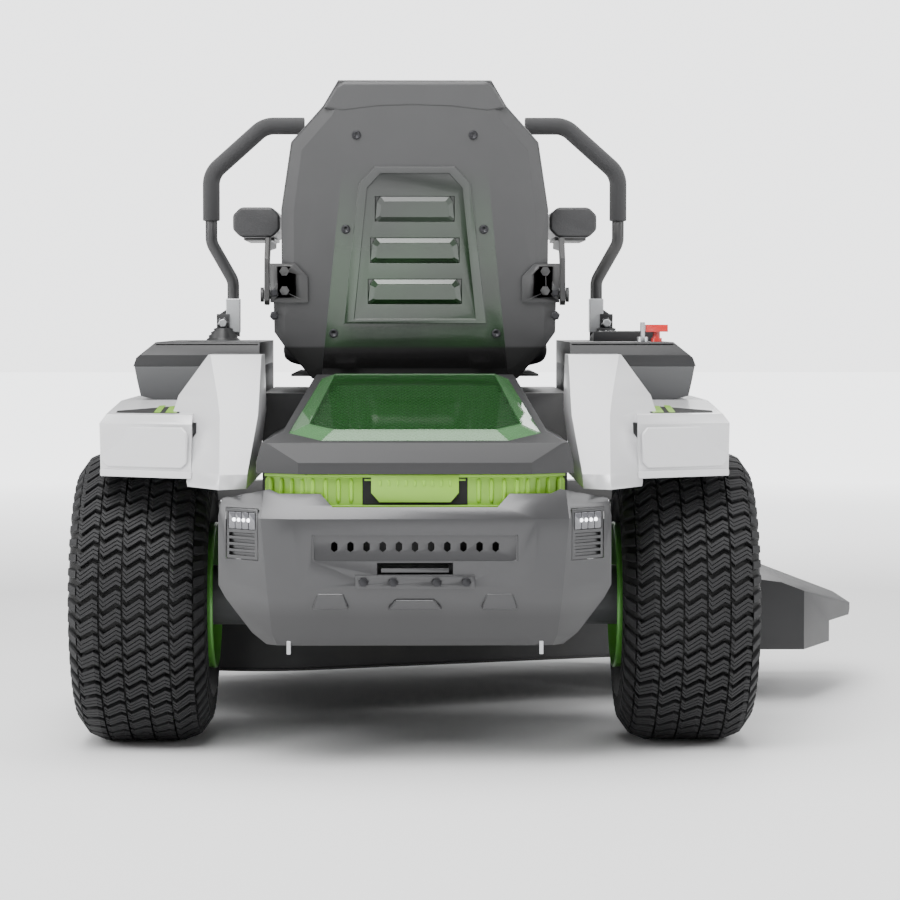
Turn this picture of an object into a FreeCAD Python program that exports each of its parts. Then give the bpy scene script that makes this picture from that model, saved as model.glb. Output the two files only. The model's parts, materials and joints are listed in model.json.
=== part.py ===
import FreeCAD, Part
import math
import os

# Ride-on zero turn mower. Millimetres, x right, y forward, z up from the ground.
# The shapes are drawn about the point under the middle of the rear axle, and the whole
# model is moved at the end so that its origin is the bottom centre of its outline.

# ---- wheels and stance ----
tyre_radius = 233.0
tyre_width = 216.0
tyre_wall = 15.0
wheel_x = 432.0
bead_radius = 101.0
flange_radius = 113.0
rim_wall = 4.0
axle_radius = 15.0
hub_radius = 42.0
wheelbase = 1270.0
caster_x = 430.0
caster_radius = 140.0
caster_width = 96.0
caster_rim_radius = 68.0
caster_trail = 65.0
king_pin_radius = 12.5
fork_plate = 8.0

# ---- clearances ----
running_gap = 0.4
slot_gap = 6.0

# ---- welded frame ----
rail_x = 150.0
rail_width = 40.0
rail_height = 50.0
rail_wall = 3.0
rail_bottom = 255.0
frame_rear = -330.0
frame_front = wheelbase + 30.0
beam_height = 40.0
beam_depth = 50.0
pivot_tube_radius = 28.0
cross_members = (frame_rear, 60.0, 645.0, 1085.0)

# ---- drive ----
motor_radius = 60.0
motor_end = 382.0

# ---- rear bumper ----
bumper_rear = -400.0
bumper_wall = 5.0
bumper_top = 401.0
hole_pitch = 23.8
hole_count = 11
hole_width = 9.5
hole_height = 16.0
hole_z = 343.0
recess_half_width = 152.0
recess_bottom = 322.0
recess_top = 360.0
recess_depth = 2.5
hitch_slot_half_width = 56.0
hitch_slot_bottom = 302.0
hitch_slot_top = 320.0
hitch_plate_thickness = 6.0
hitch_bore_radius = 6.5
hitch_bore_y = -352.0
hitch_bolt_x = (-76.0, -32.0, 32.0, 76.0)
hitch_bolt_z = 291.0
bolt_radius = 4.0
lamp_inner_x = 232.0
lamp_outer_x = 283.0
lamp_bottom = 321.0
lamp_top = 398.0

# ---- battery box, hood and handle ----
battery_half_width = 225.0
battery_rear = -370.0
battery_front = 54.0
battery_top = 448.6
battery_wall = 4.0
band_bottom = 396.0
pack_count = 4
hood_rear = -378.0
hood_front = 56.0
hood_top = 588.0
hood_wall = 4.0
hood_hinge_y = 63.5
hood_hinge_z = 574.0
hood_hinge_x = 120.0
hinge_pin_radius = 4.0
hinge_eye_radius = 6.2
handle_half_width = 65.0
handle_bottom = 407.0
handle_top = 447.0
handle_depth = 14.0
handle_pin_radius = 3.0
handle_pin_z = 440.0

# ---- seat support, floor ----
support_half_width = 250.0
support_rear = 70.0
support_front = 500.0
support_top = 557.0
sheet = 3.0
floor_half_width = 262.0
nose_half_width = 206.0
nose_front = 1405.0
flange_height = 12.0
mat_thickness = 6.0

# ---- seat ----
seat_rail_x = 130.0
seat_rail_height = 10.0
seat_rail_length = 330.0
seat_half_width = 228.0
seat_bottom = 583.0
seat_front = 560.0
seat_rear = 172.0
cushion_thickness = 78.0
back_lean = 8.0
back_foot_y = 150.0
back_foot_z = 581.0
back_height = 492.0
back_emboss = ((117.0, 677.0), (91.0, 907.0), (65.0, 935.0))
back_recess = ((100.0, 684.0), (78.0, 900.0), (56.0, 924.0))
back_louvres = ((77.0, 709.0), (73.0, 777.0), (65.0, 845.0))
louvre_height = 41.0
back_shell_depth = 34.0
back_cushion_depth = 72.0

# ---- armrests ----
arm_pivot_local_y = 118.0
arm_pivot_local_z = 724.0
arm_x = 243.0
arm_thickness = 9.0
pad_inner_x = 223.0
pad_width = 78.0
pad_bottom = 813.0
pad_height = 50.0
pad_rear = 128.0
pad_length = 250.0

# ---- fenders and consoles ----
fender_wall = 4.0
fender_inner_x = 251.0
fender_top = 548.0
tyre_gap = 14.0
console_inner_x = support_half_width + 0.5
console_rear = 2.0
console_front = 452.0
console_floor = fender_top
switch_x = 400.0
switch_y = 120.0
key_x = 372.0
key_y = 60.0
console_split = 602.0
console_top = 641.0
console_wall = 3.5
cup_radius = 39.0
cup_depth = 72.0
cup_x = 345.0
cup_y = 130.0

# ---- levers and lap bars ----
lever_x = 336.0
lever_y = 400.0
lever_pivot_z = 590.0
lever_width = 22.0
lever_plate = 8.0
swing_z = 671.0
swing_bolt_radius = 6.0
bar_base_x = 319.0
bar_base_width = 23.0
bar_base_bottom = 647.0
bar_base_top = 713.0
bar_radius = 10.5
grip_radius = 15.0
grip_x = 357.0
grip_bottom = 850.0
grip_top = 1016.0
grip_end_x = 193.0

# ---- deck ----
blade_x = 262.0
blade_y = 610.0
blade_stagger = 90.0
blade_radius = 268.0
blade_width = 58.0
blade_thickness = 5.0
deck_margin = 18.0
deck_wall = 3.5
deck_bottom = 80.0
deck_height = 110.0
spindle_radius = 12.0
blade_motor_radius = 68.0
blade_motor_height = 58.0
deck_drop = 30.0
deck_rise = 45.0
gauge_radius = 45.0
gauge_width = 48.0
chute_hinge_x = 560.0
chute_hinge_z = 206.0
chute_rear = 400.0
chute_front = 850.0
chute_tip_x = 805.0
chute_tip_z = 154.0
chute_wall = 4.0
chute_bottom = 95.0
chute_lug_inset = 70.0

# ---- deck lift ----
lift_shaft_z = 258.0
lift_shaft_radius = 11.0
lift_arm_length = 180.0
lift_rest_angle = 2.4
lift_front_y = 900.0
lift_rear_y = 620.0
lift_arm_x = 74.0
lift_plate = 8.0
lift_pin_radius = 5.0
pedal_x = 100.0
pedal_y = 1050.0
pedal_z = 400.0

# ---- sizes worked out from the ones above ----
axle_z = tyre_radius
frame_top = rail_bottom + rail_height
rail_outer = rail_x + rail_width / 2
rail_inner = rail_x - rail_width / 2
floor_top = frame_top + sheet
deck_top = deck_bottom + deck_height
deck_radius = blade_radius + deck_margin
hood_bottom = battery_top + running_gap
seat_rail_top = support_top + seat_rail_height
caster_axle_y = wheelbase - caster_trail
lift_arm_drop = lift_arm_length * math.sin(math.radians(lift_rest_angle))
lift_arm_reach = lift_arm_length * math.cos(math.radians(lift_rest_angle))
handle_pin_y = battery_rear - 1 + handle_depth / 2
swivel_gap = 1.5


# ---- drawing helpers ----
def vec(x, y, z):
    return FreeCAD.Vector(x, y, z)


def block(x0, x1, y0, y1, z0, z1):
    return Part.makeBox(x1 - x0, y1 - y0, z1 - z0, vec(x0, y0, z0))


def rod(radius, start, end):
    run = end - start
    return Part.makeCylinder(radius, run.Length, start, run)


def closed_face(points):
    return Part.Face(Part.makePolygon(points + [points[0]]))


def prism_x(outline, x0, x1):
    """Extrude an outline of (y, z) points along x."""
    return closed_face([vec(x0, y, z) for y, z in outline]).extrude(vec(x1 - x0, 0, 0))


def prism_y(outline, y0, y1):
    """Extrude an outline of (x, z) points along y."""
    return closed_face([vec(x, y0, z) for x, z in outline]).extrude(vec(0, y1 - y0, 0))


def prism_z(outline, z0, z1):
    """Extrude an outline of (x, y) points along z."""
    return closed_face([vec(x, y, z0) for x, y in outline]).extrude(vec(0, 0, z1 - z0))


def loft_z(levels):
    """A solid through level outlines, given as (z, [(x, y), ...]) from the bottom up."""
    wires = []
    for z, outline in levels:
        points = [vec(x, y, z) for x, y in outline]
        wires.append(Part.makePolygon(points + [points[0]]))
    return Part.makeLoft(wires, True, True)


def inset(outline, wall):
    """Move each side of a convex outline inwards by the wall."""
    count = len(outline)
    area = 0.0
    for index in range(count):
        x0, y0 = outline[index]
        x1, y1 = outline[(index + 1) % count]
        area += x0 * y1 - x1 * y0
    side = 1.0 if area > 0 else -1.0
    lines = []
    for index in range(count):
        x0, y0 = outline[index]
        x1, y1 = outline[(index + 1) % count]
        length = math.hypot(x1 - x0, y1 - y0)
        nx = -side * (y1 - y0) / length
        ny = side * (x1 - x0) / length
        lines.append((nx, ny, nx * x0 + ny * y0 + wall))
    moved = []
    for index in range(count):
        a0, b0, c0 = lines[index - 1]
        a1, b1, c1 = lines[index]
        det = a0 * b1 - a1 * b0
        moved.append(((c0 * b1 - c1 * b0) / det, (a0 * c1 - a1 * c0) / det))
    return moved


def joined(shapes):
    """Fuse touching shapes into one clean solid."""
    return shapes[0].multiFuse(shapes[1:]).removeSplitter()


def group(shapes):
    return Part.makeCompound(shapes)


def mirrored_outline(half_outline):
    """A closed outline from the points of its right half."""
    right = list(half_outline)
    left = [(-x, z) for x, z in reversed(right)]
    return right + left


def mirrored(shape):
    return shape.mirror(vec(0, 0, 0), vec(1, 0, 0))


def both_sides(shape):
    return [shape, mirrored(shape)]


def moved(shape, x, y, z):
    copy = shape.copy()
    copy.translate(vec(x, y, z))
    return copy


def spun_x(profile, x, y, z):
    """Turn a profile of (x, radius) points about an axis along x through (x, y, z)."""
    face = closed_face([vec(px, 0, radius) for px, radius in profile])
    turned = face.revolve(vec(0, 0, 0), vec(1, 0, 0), 360)
    return moved(turned, x, y, z)


def tube_x(width, height, wall, x0, x1, y, z):
    """A rectangular tube along x, with its lower rear edge at y and z."""
    outer = block(x0, x1, y, y + width, z, z + height)
    inner = block(x0, x1, y + wall, y + width - wall, z + wall, z + height - wall)
    return outer.cut(inner)


def tube_y(width, height, wall, x, y0, y1, z):
    """A rectangular tube along y, with its middle at x and its underside at z."""
    half = width / 2
    outer = block(x - half, x + half, y0, y1, z, z + height)
    inner = block(x - half + wall, x + half - wall, y0, y1, z + wall, z + height - wall)
    return outer.cut(inner)


def bolt_y(x, y, z, radius, length, head_radius, head):
    """A bolt along y with a hexagonal head that ends at y and faces rearwards."""
    corners = []
    for index in range(6):
        angle = math.radians(60 * index)
        corners.append((x + head_radius * math.cos(angle), z + head_radius * math.sin(angle)))
    shank = rod(radius, vec(x, y + head, z), vec(x, y + head + length, z))
    return joined([prism_y(corners, y, y + head), shank])


def bent_tube(points, radius, bend):
    """A round tube through points, with tangent arcs of the bend radius at its corners."""
    edges = []
    start = points[0]
    for index in range(1, len(points) - 1):
        corner = points[index]
        back = (points[index - 1] - corner).normalize()
        ahead = (points[index + 1] - corner).normalize()
        turn = math.pi - back.getAngle(ahead)
        reach = bend * math.tan(turn / 2)
        first = corner + back * reach
        last = corner + ahead * reach
        inward = (back + ahead).normalize()
        middle = corner + inward * (bend / math.cos(turn / 2) - bend)
        edges.append(Part.LineSegment(start, first).toShape())
        edges.append(Part.Arc(first, middle, last).toShape())
        start = last
    edges.append(Part.LineSegment(start, points[-1]).toShape())
    path = Part.Wire(edges)
    run = points[1] - points[0]
    section = Part.Wire(Part.Circle(points[0], run, radius).toShape())
    return path.makePipeShell([section], True, False)


# ---- frame and floor ----
def make_main_frame():
    rails = both_sides(tube_y(rail_width, rail_height, rail_wall, rail_x, frame_rear, frame_front,
                              rail_bottom))
    members = []
    for y in cross_members:
        members.append(tube_x(rail_width, rail_height, rail_wall, -rail_inner, rail_inner, y,
                              rail_bottom))
    beam_rear = wheelbase - beam_depth / 2
    beam_end = caster_x - pivot_tube_radius + 6
    beam = tube_x(beam_depth, beam_height, rail_wall, -beam_end, beam_end, beam_rear, frame_top)
    mounts = []
    for side in (-1, 1):
        foot = vec(side * caster_x, wheelbase, frame_top - 5)
        head = vec(side * caster_x, wheelbase, frame_top + beam_height + 12)
        beam = beam.cut(rod(pivot_tube_radius - 1, foot, head))
        pivot = rod(pivot_tube_radius, foot, head)
        mounts.append(pivot.cut(rod(king_pin_radius + running_gap, foot, head)))
        x0, x1 = sorted((side * (rail_x - 15), side * (rail_x + 15)))
        mounts.append(block(x0, x1, bumper_rear + bumper_wall, frame_rear, 283, frame_top))
    return joined(rails + members + [beam] + mounts)


def make_floor_pan():
    wall = support_front
    beam_y = wheelbase - beam_depth / 2
    beam_top = frame_top + beam_height
    top = [(wall, floor_top), (beam_y - 45, floor_top), (beam_y - 8, beam_top + sheet + 1),
           (beam_y + beam_depth + 30, beam_top + sheet + 1), (nose_front - 18, beam_top - 22),
           (nose_front, beam_top - 45), (nose_front, beam_top - 62)]
    under = [(y - sheet, z) if index > 4 else (y, z - sheet) for index, (y, z) in enumerate(top)]
    tray = prism_x(top + under[::-1], -floor_half_width, floor_half_width)
    for side in (-1, 1):
        x0, x1 = sorted((side * nose_half_width, side * (floor_half_width + 1)))
        tray = tray.cut(block(x0, x1, 1045, nose_front + 1, 200, 500))
    pieces = [tray]
    for side in (-1, 1):
        x0, x1 = sorted((side * (floor_half_width - sheet), side * floor_half_width))
        pieces.append(block(x0, x1, wall, 1045, floor_top - flange_height, floor_top))
        x0, x1 = sorted((side * (nose_half_width - sheet), side * nose_half_width))
        pieces.append(block(x0, x1, 1045, beam_y - 45, floor_top - flange_height, floor_top))
    for index in range(5):
        y = 560 + index * 95
        pieces.append(block(-floor_half_width + 8, -floor_half_width + 26, y, y + 60, floor_top,
                            floor_top + 3))
        pieces.append(block(floor_half_width - 26, floor_half_width - 8, y, y + 60, floor_top,
                            floor_top + 3))
    pan = joined(pieces)
    return pan.cut(pedal_slot())


def pedal_slot():
    return block(pedal_x - 11, pedal_x + 11, lift_front_y + 8, pedal_y + 8, frame_top - 30,
                 floor_top + mat_thickness + 5)


def make_foot_mat():
    outline = [(-228, support_front + 40), (228, support_front + 40), (228, 1030), (190, 1060),
               (190, 1190), (-190, 1190), (-190, 1060), (-228, 1030)]
    mat = prism_z(outline, floor_top, floor_top + mat_thickness)
    return mat.cut(pedal_slot())


def make_seat_support():
    outer = block(-support_half_width, support_half_width, support_rear, support_front, frame_top,
                  support_top)
    inner = block(-support_half_width + sheet, support_half_width - sheet, support_rear + sheet,
                  support_front - sheet, frame_top - 1, support_top - sheet)
    box = outer.cut(inner)
    lugs = []
    for side in (-1, 1):
        for offset in (-14, 14):
            x = side * hood_hinge_x + offset
            lugs.append(block(x - 2.5, x + 2.5, hood_front + 0.5, support_rear + 1,
                              hood_hinge_z - 26, hood_hinge_z + 7))
        lugs.append(block(side * hood_hinge_x - 16.5, side * hood_hinge_x + 16.5,
                          support_rear, support_rear + sheet, hood_hinge_z - 26, hood_hinge_z + 7))
        start = vec(side * hood_hinge_x - 16.5, hood_hinge_y, hood_hinge_z)
        end = vec(side * hood_hinge_x + 16.5, hood_hinge_y, hood_hinge_z)
        lugs.append(rod(hinge_pin_radius, start, end))
    return joined([box] + lugs)


def make_seat_rails():
    rails = []
    for side in (-1, 1):
        x = side * seat_rail_x
        rails.append(block(x - 16, x + 16, 150, 150 + seat_rail_length, support_top,
                           seat_rail_top))
    return group(rails)


def make_pivot_brackets():
    """Steel stands for the levers inside the consoles, and the lift shaft bearings."""
    pieces = []
    floor = console_floor + console_wall
    for side in (-1, 1):
        x = side * lever_x
        base = block(x - 24, x + 24, lever_y - 20, lever_y + 20, floor, floor + 5)
        cheeks = []
        for offset in (-10, 10):
            cheeks.append(block(x + offset - 3, x + offset + 3, lever_y - 13, lever_y + 13,
                                floor, lever_pivot_z + 13))
        pin = rod(swing_bolt_radius, vec(x - 16, lever_y, lever_pivot_z),
                  vec(x + 16, lever_y, lever_pivot_z))
        pieces.append(joined([base] + cheeks + [pin]))
        for y in (lift_front_y, lift_rear_y):
            x0, x1 = sorted((side * rail_inner, side * (rail_inner - 10)))
            plate = block(x0, x1, y - 22, y + 22, lift_shaft_z - 20, frame_top - 8)
            hole = rod(lift_shaft_radius + running_gap, vec(x0 - 1, y, lift_shaft_z),
                       vec(x1 + 1, y, lift_shaft_z))
            pieces.append(plate.cut(hole))
    return group(pieces)


# ---- wheels ----
def make_rear_rim():
    half = 90.0
    wall = rim_wall
    profile = [(-half, flange_radius), (-half, flange_radius - wall - 3), (-half + 6, bead_radius - wall),
               (-14, bead_radius - wall), (-20, hub_radius + 30), (-8, hub_radius + 12),
               (-14, hub_radius), (-14, axle_radius + running_gap), (20, axle_radius + running_gap),
               (20, hub_radius), (-2, hub_radius + 12), (-14, hub_radius + 30),
               (-8, bead_radius - wall), (half - 6, bead_radius - wall),
               (half, flange_radius - wall - 3), (half, flange_radius), (half - wall, flange_radius),
               (half - wall, bead_radius), (-half + wall, bead_radius),
               (-half + wall, flange_radius)]
    rim = spun_x(profile, wheel_x, 0, axle_z)
    nuts = []
    for index in range(5):
        angle = math.radians(72 * index + 18)
        y = (hub_radius - 11) * math.cos(angle)
        z = axle_z + (hub_radius - 11) * math.sin(angle)
        nuts.append(rod(8, vec(wheel_x + 19, y, z), vec(wheel_x + 32, y, z)))
    cap = rod(axle_radius + 5, vec(wheel_x + 18, 0, axle_z), vec(wheel_x + 38, 0, axle_z))
    return joined([rim, cap] + nuts)


def make_rear_tyre():
    half = tyre_width / 2
    outer = tyre_radius
    bead = bead_radius + running_gap
    wall = tyre_wall
    seat = 84.0 - running_gap
    profile = [(-seat, bead), (-seat, flange_radius + 3), (-half + 5, flange_radius + 26),
               (-half, outer - 72), (-half + 3, outer - 34), (-half + 20, outer - 10),
               (-half + 44, outer), (half - 44, outer), (half - 20, outer - 10),
               (half - 3, outer - 34), (half, outer - 72), (half - 5, flange_radius + 26),
               (seat, flange_radius + 3), (seat, bead), (seat - wall, bead),
               (half - wall - 4, flange_radius + 30), (half - wall, outer - 70),
               (half - 34, outer - wall - 8), (-half + 34, outer - wall - 8),
               (-half + wall, outer - 70), (-half + wall + 4, flange_radius + 30),
               (-seat + wall, bead)]
    return spun_x(profile, wheel_x, 0, axle_z)


def make_drive_motors():
    motors = []
    for side in (-1, 1):
        start = rail_outer
        body = [(start, 50), (start + 12, 50), (start + 12, motor_radius), (start + 92, motor_radius),
                (start + 98, 48), (motor_end - 40, 48), (motor_end - 36, hub_radius - 4),
                (motor_end, hub_radius - 4), (motor_end, axle_radius),
                (wheel_x + 12, axle_radius), (wheel_x + 12, 0), (start, 0)]
        solid = spun_x(body, 0, 0, axle_z)
        flange = block(start, start + 10, -72, 72, axle_z - 40, frame_top)
        solid = joined([solid, flange])
        motors.append(solid if side > 0 else mirrored(solid))
    return group(motors)


def make_caster_fork():
    y = caster_axle_y
    inner = caster_width / 2 + 5
    outer = inner + fork_plate
    crown_z = 2 * caster_radius + 6
    crown_top = frame_top - 5 - swivel_gap
    crown = block(-outer, outer, y - 24, wheelbase + 30, crown_z, crown_top)
    legs = []
    for side in (-1, 1):
        outline = [(y - 24, crown_z + 1), (y - 20, caster_radius), (y - 12, caster_radius - 18),
                   (y + 12, caster_radius - 18), (y + 20, caster_radius), (wheelbase + 30, crown_z + 1)]
        x0, x1 = sorted((side * inner, side * outer))
        legs.append(prism_x(outline, x0, x1))
    pin = rod(king_pin_radius, vec(0, wheelbase, crown_z + 2),
              vec(0, wheelbase, frame_top + beam_height + 12 + 3))
    cap = rod(king_pin_radius + 8, vec(0, wheelbase, frame_top + beam_height + 12 + 1),
              vec(0, wheelbase, frame_top + beam_height + 12 + 9))
    axle = rod(8, vec(-outer - 6, y, caster_radius), vec(outer + 6, y, caster_radius))
    return moved(joined([crown, pin, cap, axle] + legs), caster_x, 0, 0)


def make_caster_wheel():
    half = caster_width / 2
    r = caster_radius
    core = caster_rim_radius
    profile = [(-half - 3, 8 + running_gap), (-half - 3, 22), (-half + 14, 26), (-half + 14, core - 10),
               (-half + 8, core), (-half + 1, core + 14), (-half, r - 40), (-half + 5, r - 18),
               (-half + 20, r - 4), (-half + 34, r), (half - 34, r), (half - 20, r - 4),
               (half - 5, r - 18), (half, r - 40), (half - 1, core + 14), (half - 8, core),
               (half - 14, core - 10), (half - 14, 26), (half + 3, 22), (half + 3, 8 + running_gap)]
    return spun_x(profile, caster_x, caster_axle_y, caster_radius)


# ---- rear bodywork ----
def bumper_outline(outer, corner, crease, side_y, corner_y, rear_y):
    right = [(crease, rear_y), (corner, corner_y), (outer, side_y)]
    left = [(-x, y) for x, y in right[::-1]]
    return left + right


def bumper_skin(forward):
    r = bumper_rear
    levels = [(193, bumper_outline(222, 205, 166, r + 55, r + 38, r + 34)),
              (210, bumper_outline(244, 212, 166, r + 60, r + 32, r + 26)),
              (261, bumper_outline(284, 217, 166, r + 70, r + 12, r + 5)),
              (280, bumper_outline(295, 219, 168, r + 75, r + 10, r)),
              (384, bumper_outline(295, 228, 181, r + 75, r + 12, r)),
              (404, bumper_outline(291, 226, 179, r + 77, r + 22, r + 11)),
              (430, bumper_outline(285, 224, 177, r + 80, r + 40, r + 30))]
    return moved(loft_z(levels), 0, forward, 0)


def hexagon(x, z, width, height):
    half = width / 2
    rise = height / 2
    return [(x - half, z - rise * 0.55), (x, z - rise), (x + half, z - rise * 0.55),
            (x + half, z + rise * 0.55), (x, z + rise), (x - half, z + rise * 0.55)]


def make_rear_bumper():
    outline = [(-300, 190), (300, 190), (300, 409), (268, 415), (216, 426), (202, 420), (140, 420),
               (122, bumper_top), (-122, bumper_top), (-140, 420), (-202, 420), (-216, 426),
               (-268, 415), (-300, 409)]
    front_view = prism_y(outline, bumper_rear - 10, bumper_rear + 120)
    shell = bumper_skin(0).common(front_view).cut(bumper_skin(bumper_wall))
    r = bumper_rear
    cuts = [block(-recess_half_width, recess_half_width, r - 1, r + recess_depth, recess_bottom,
                  recess_top)]
    for index in range(hole_count):
        x = (index - (hole_count - 1) / 2) * hole_pitch
        cuts.append(prism_y(hexagon(x, hole_z, hole_width, hole_height), r - 1, r + 20))
    cuts.append(block(-hitch_slot_half_width, hitch_slot_half_width, r - 1, r + 20,
                      hitch_slot_bottom, hitch_slot_top))
    for side in (-1, 1):
        x0, x1 = sorted((side * lamp_inner_x, side * lamp_outer_x))
        cuts.append(block(x0, x1, r - 1, r + 110, lamp_bottom, lamp_top))
    for x in hitch_bolt_x:
        cuts.append(rod(bolt_radius, vec(x, r - 1, hitch_bolt_z), vec(x, r + 20, hitch_bolt_z)))
    for shape in cuts:
        shell = shell.cut(shape)
    return shell


def corner_panel_y(x, z):
    """The rear face of the bumper's corner panel at x, about as high as the lamps."""
    corner = 219 + (z - 280) / 104 * 9
    return bumper_rear + 11 + (x - corner) / (295 - corner) * 64


def make_lamp_housings():
    pieces = []
    gap = 0.5
    x0 = lamp_inner_x + gap
    x1 = lamp_outer_x - gap
    y0 = corner_panel_y(x0, 360) + 2
    y1 = corner_panel_y(x1, 360) + 2
    outline = [(x0, y0), (x1, y1), (x1, y1 + 22), (x0, y1 + 22)]
    body = prism_z(outline, lamp_bottom + gap, lamp_top - gap)
    lens_pocket = prism_z([(x0 + 4, y0 - 10), (x1 - 4, y1 - 20), (x1 - 4, y1 + 4), (x0 + 4, y0 + 8)],
                          366, 392)
    body = body.cut(lens_pocket)
    for index in range(4):
        z = lamp_bottom + 6 + index * 9.5
        slot = [(x0 + 5, y0 - 10), (x1 - 5, y1 - 20), (x1 - 5, y1 + 3), (x0 + 5, y0 + 6)]
        body = body.cut(prism_z(slot, z, z + 5))
    pieces += both_sides(body)
    pieces += both_sides(block(95, 165, nose_front - 25, nose_front - sheet, 284, 298))
    return group(pieces)


def make_lamp_lenses():
    x0 = lamp_inner_x + 4.5
    x1 = lamp_outer_x - 4.5
    pieces = []
    for index in range(4):
        near = x0 + index * (x1 - x0) / 4 + running_gap
        far = x0 + (index + 1) * (x1 - x0) / 4 - running_gap
        y0 = corner_panel_y(near, 379) + 2
        y1 = corner_panel_y(far, 379) + 2
        outline = [(near, y0), (far, y1), (far, y1 + 3.5), (near, y0 + 3.5)]
        pieces += both_sides(prism_z(outline, 366.4, 391.6))
    pieces += both_sides(block(98, 162, nose_front, nose_front + 5, 285, 299))
    return group(pieces)


def make_hitch_bracket():
    tongue = block(-50, 50, bumper_rear + 1, frame_rear, hitch_slot_bottom + 3,
                   hitch_slot_bottom + 3 + hitch_plate_thickness)
    flange = block(-86, 86, frame_rear - hitch_plate_thickness, frame_rear, rail_bottom + 3,
                   hitch_slot_bottom + 3 + hitch_plate_thickness)
    hole = rod(hitch_bore_radius, vec(0, hitch_bore_y, 290), vec(0, hitch_bore_y, 330))
    bracket = joined([tongue, flange]).cut(hole)
    face = block(-88, 88, bumper_rear - 3, bumper_rear, 281, 301)
    for x in hitch_bolt_x:
        face = face.cut(rod(bolt_radius, vec(x, bumper_rear - 5, hitch_bolt_z),
                            vec(x, bumper_rear + 5, hitch_bolt_z)))
    return group([bracket, face])


def make_chassis_bolts():
    bolts = []
    for x in hitch_bolt_x:
        bolts.append(bolt_y(x, bumper_rear - 8, hitch_bolt_z, bolt_radius, 14, 7, 5))
    for side in (-1, 1):
        head_y = frame_rear - hitch_plate_thickness
        bolts.append(rod(7, vec(side * 60, head_y - 5, 275), vec(side * 60, head_y, 275)))
        for y in (-64, 64):
            for z in (axle_z - 30, axle_z + 58):
                x0 = side * (rail_outer + 10)
                bolts.append(rod(7, vec(x0, y, z), vec(x0 + side * 7, y, z)))
    return group(bolts)


def battery_outline(half, rear, front):
    """Plan of the battery box and hood: a straight rear with angled corners."""
    return [(-half, front), (-half, rear + 38), (-half + 64, rear), (half - 64, rear),
            (half, rear + 38), (half, front)]


def make_battery_box():
    wall = battery_wall
    outline = battery_outline(battery_half_width, battery_rear, battery_front)
    box = prism_z(outline, band_bottom, battery_top)
    low = [(-battery_half_width + 18, battery_front), (-battery_half_width + 18, -318),
           (battery_half_width - 18, -318), (battery_half_width - 18, battery_front)]
    box = joined([box, prism_z(low, frame_top, band_bottom)])
    box = box.cut(prism_z(inset(low, wall), frame_top + wall, battery_top + 1))
    pocket = block(-handle_half_width - 4, handle_half_width + 4, battery_rear - 1,
                   battery_rear + handle_depth + 5, band_bottom - 1, battery_top + 1)
    pin = rod(handle_pin_radius + running_gap, vec(-handle_half_width - 12, handle_pin_y, handle_pin_z),
              vec(handle_half_width + 12, handle_pin_y, handle_pin_z))
    return box.cut(pocket).cut(pin)


def make_battery_packs():
    packs = []
    gap = 8.0
    width = (2 * (battery_half_width - 18 - battery_wall) - gap * (pack_count + 1)) / pack_count
    for index in range(pack_count):
        x0 = -(battery_half_width - 18 - battery_wall) + gap + index * (width + gap)
        z0 = frame_top + battery_wall
        body = block(x0, x0 + width, -285, 10, z0, battery_top - 24)
        grip = block(x0 + 20, x0 + width - 20, -200, -80, battery_top - 25, battery_top - 6)
        hollow = block(x0 + 19, x0 + width - 19, -180, -100, battery_top - 24, battery_top - 12)
        packs.append(joined([body, grip.cut(hollow)]))
    return group(packs)


def hood_body(wall, lift):
    """The hood's outer form, or with a wall its inner form."""
    side = [(hood_rear, hood_bottom), (hood_rear, 466), (hood_rear + 28, 494), (hood_front - 60, 584),
            (hood_front - 8, hood_top), (hood_front, hood_top - 8), (hood_front, hood_bottom)]
    rear = [(-237, hood_bottom), (237, hood_bottom), (237, 466), (229, 494), (200, 508), (160, hood_top),
            (-160, hood_top), (-200, 508), (-229, 494), (-237, 466)]
    plan = battery_outline(237, hood_rear, hood_front)
    if wall:
        side = inset(side, wall)
        rear = inset(rear, wall)
        plan = inset(plan, wall)
    solid = prism_x(side, -250, 250)
    solid = solid.common(prism_y(rear, -450, 100))
    solid = solid.common(prism_z(plan, 400, 650))
    return moved(solid, 0, 0, -lift)


def window_outline(edge):
    """Plan of the opening in the hood's sloping top, or of the lid that fills it."""
    return [(-150 - edge, -10 + edge), (-190 - edge, -300), (-140, -338 - edge), (140, -338 - edge),
            (190 + edge, -300), (150 + edge, -10 + edge)]


def make_hood_rim():
    inner = hood_body(hood_wall, 0)
    shell = hood_body(0, 0).cut(inner).cut(moved(inner, 0, 0, -hood_wall - 2))
    shell = shell.cut(prism_z(window_outline(0), 470, 620))
    ears = []
    for side in (-1, 1):
        x = side * hood_hinge_x
        ears.append(block(x - 10, x + 10, hood_front - hood_wall, hood_hinge_y,
                          hood_hinge_z - 5, hood_hinge_z + 5))
        ears.append(rod(hinge_eye_radius, vec(x - 10, hood_hinge_y, hood_hinge_z),
                        vec(x + 10, hood_hinge_y, hood_hinge_z)))
        for offset in (-14, 14):
            shell = shell.cut(block(x + offset - 4, x + offset + 4, hood_front - 9, hood_front + 1,
                                    hood_hinge_z - 32, hood_hinge_z + 8.5))
    shell = joined([shell] + ears)
    for side in (-1, 1):
        x = side * hood_hinge_x
        shell = shell.cut(rod(hinge_pin_radius + running_gap, vec(x - 20, hood_hinge_y, hood_hinge_z),
                              vec(x + 20, hood_hinge_y, hood_hinge_z)))
    return shell


def make_hood_window():
    lid = hood_body(0, 0).cut(moved(hood_body(0, 0), 0, 0, -5))
    return lid.common(prism_z(window_outline(-0.5), 470, 620))


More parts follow.
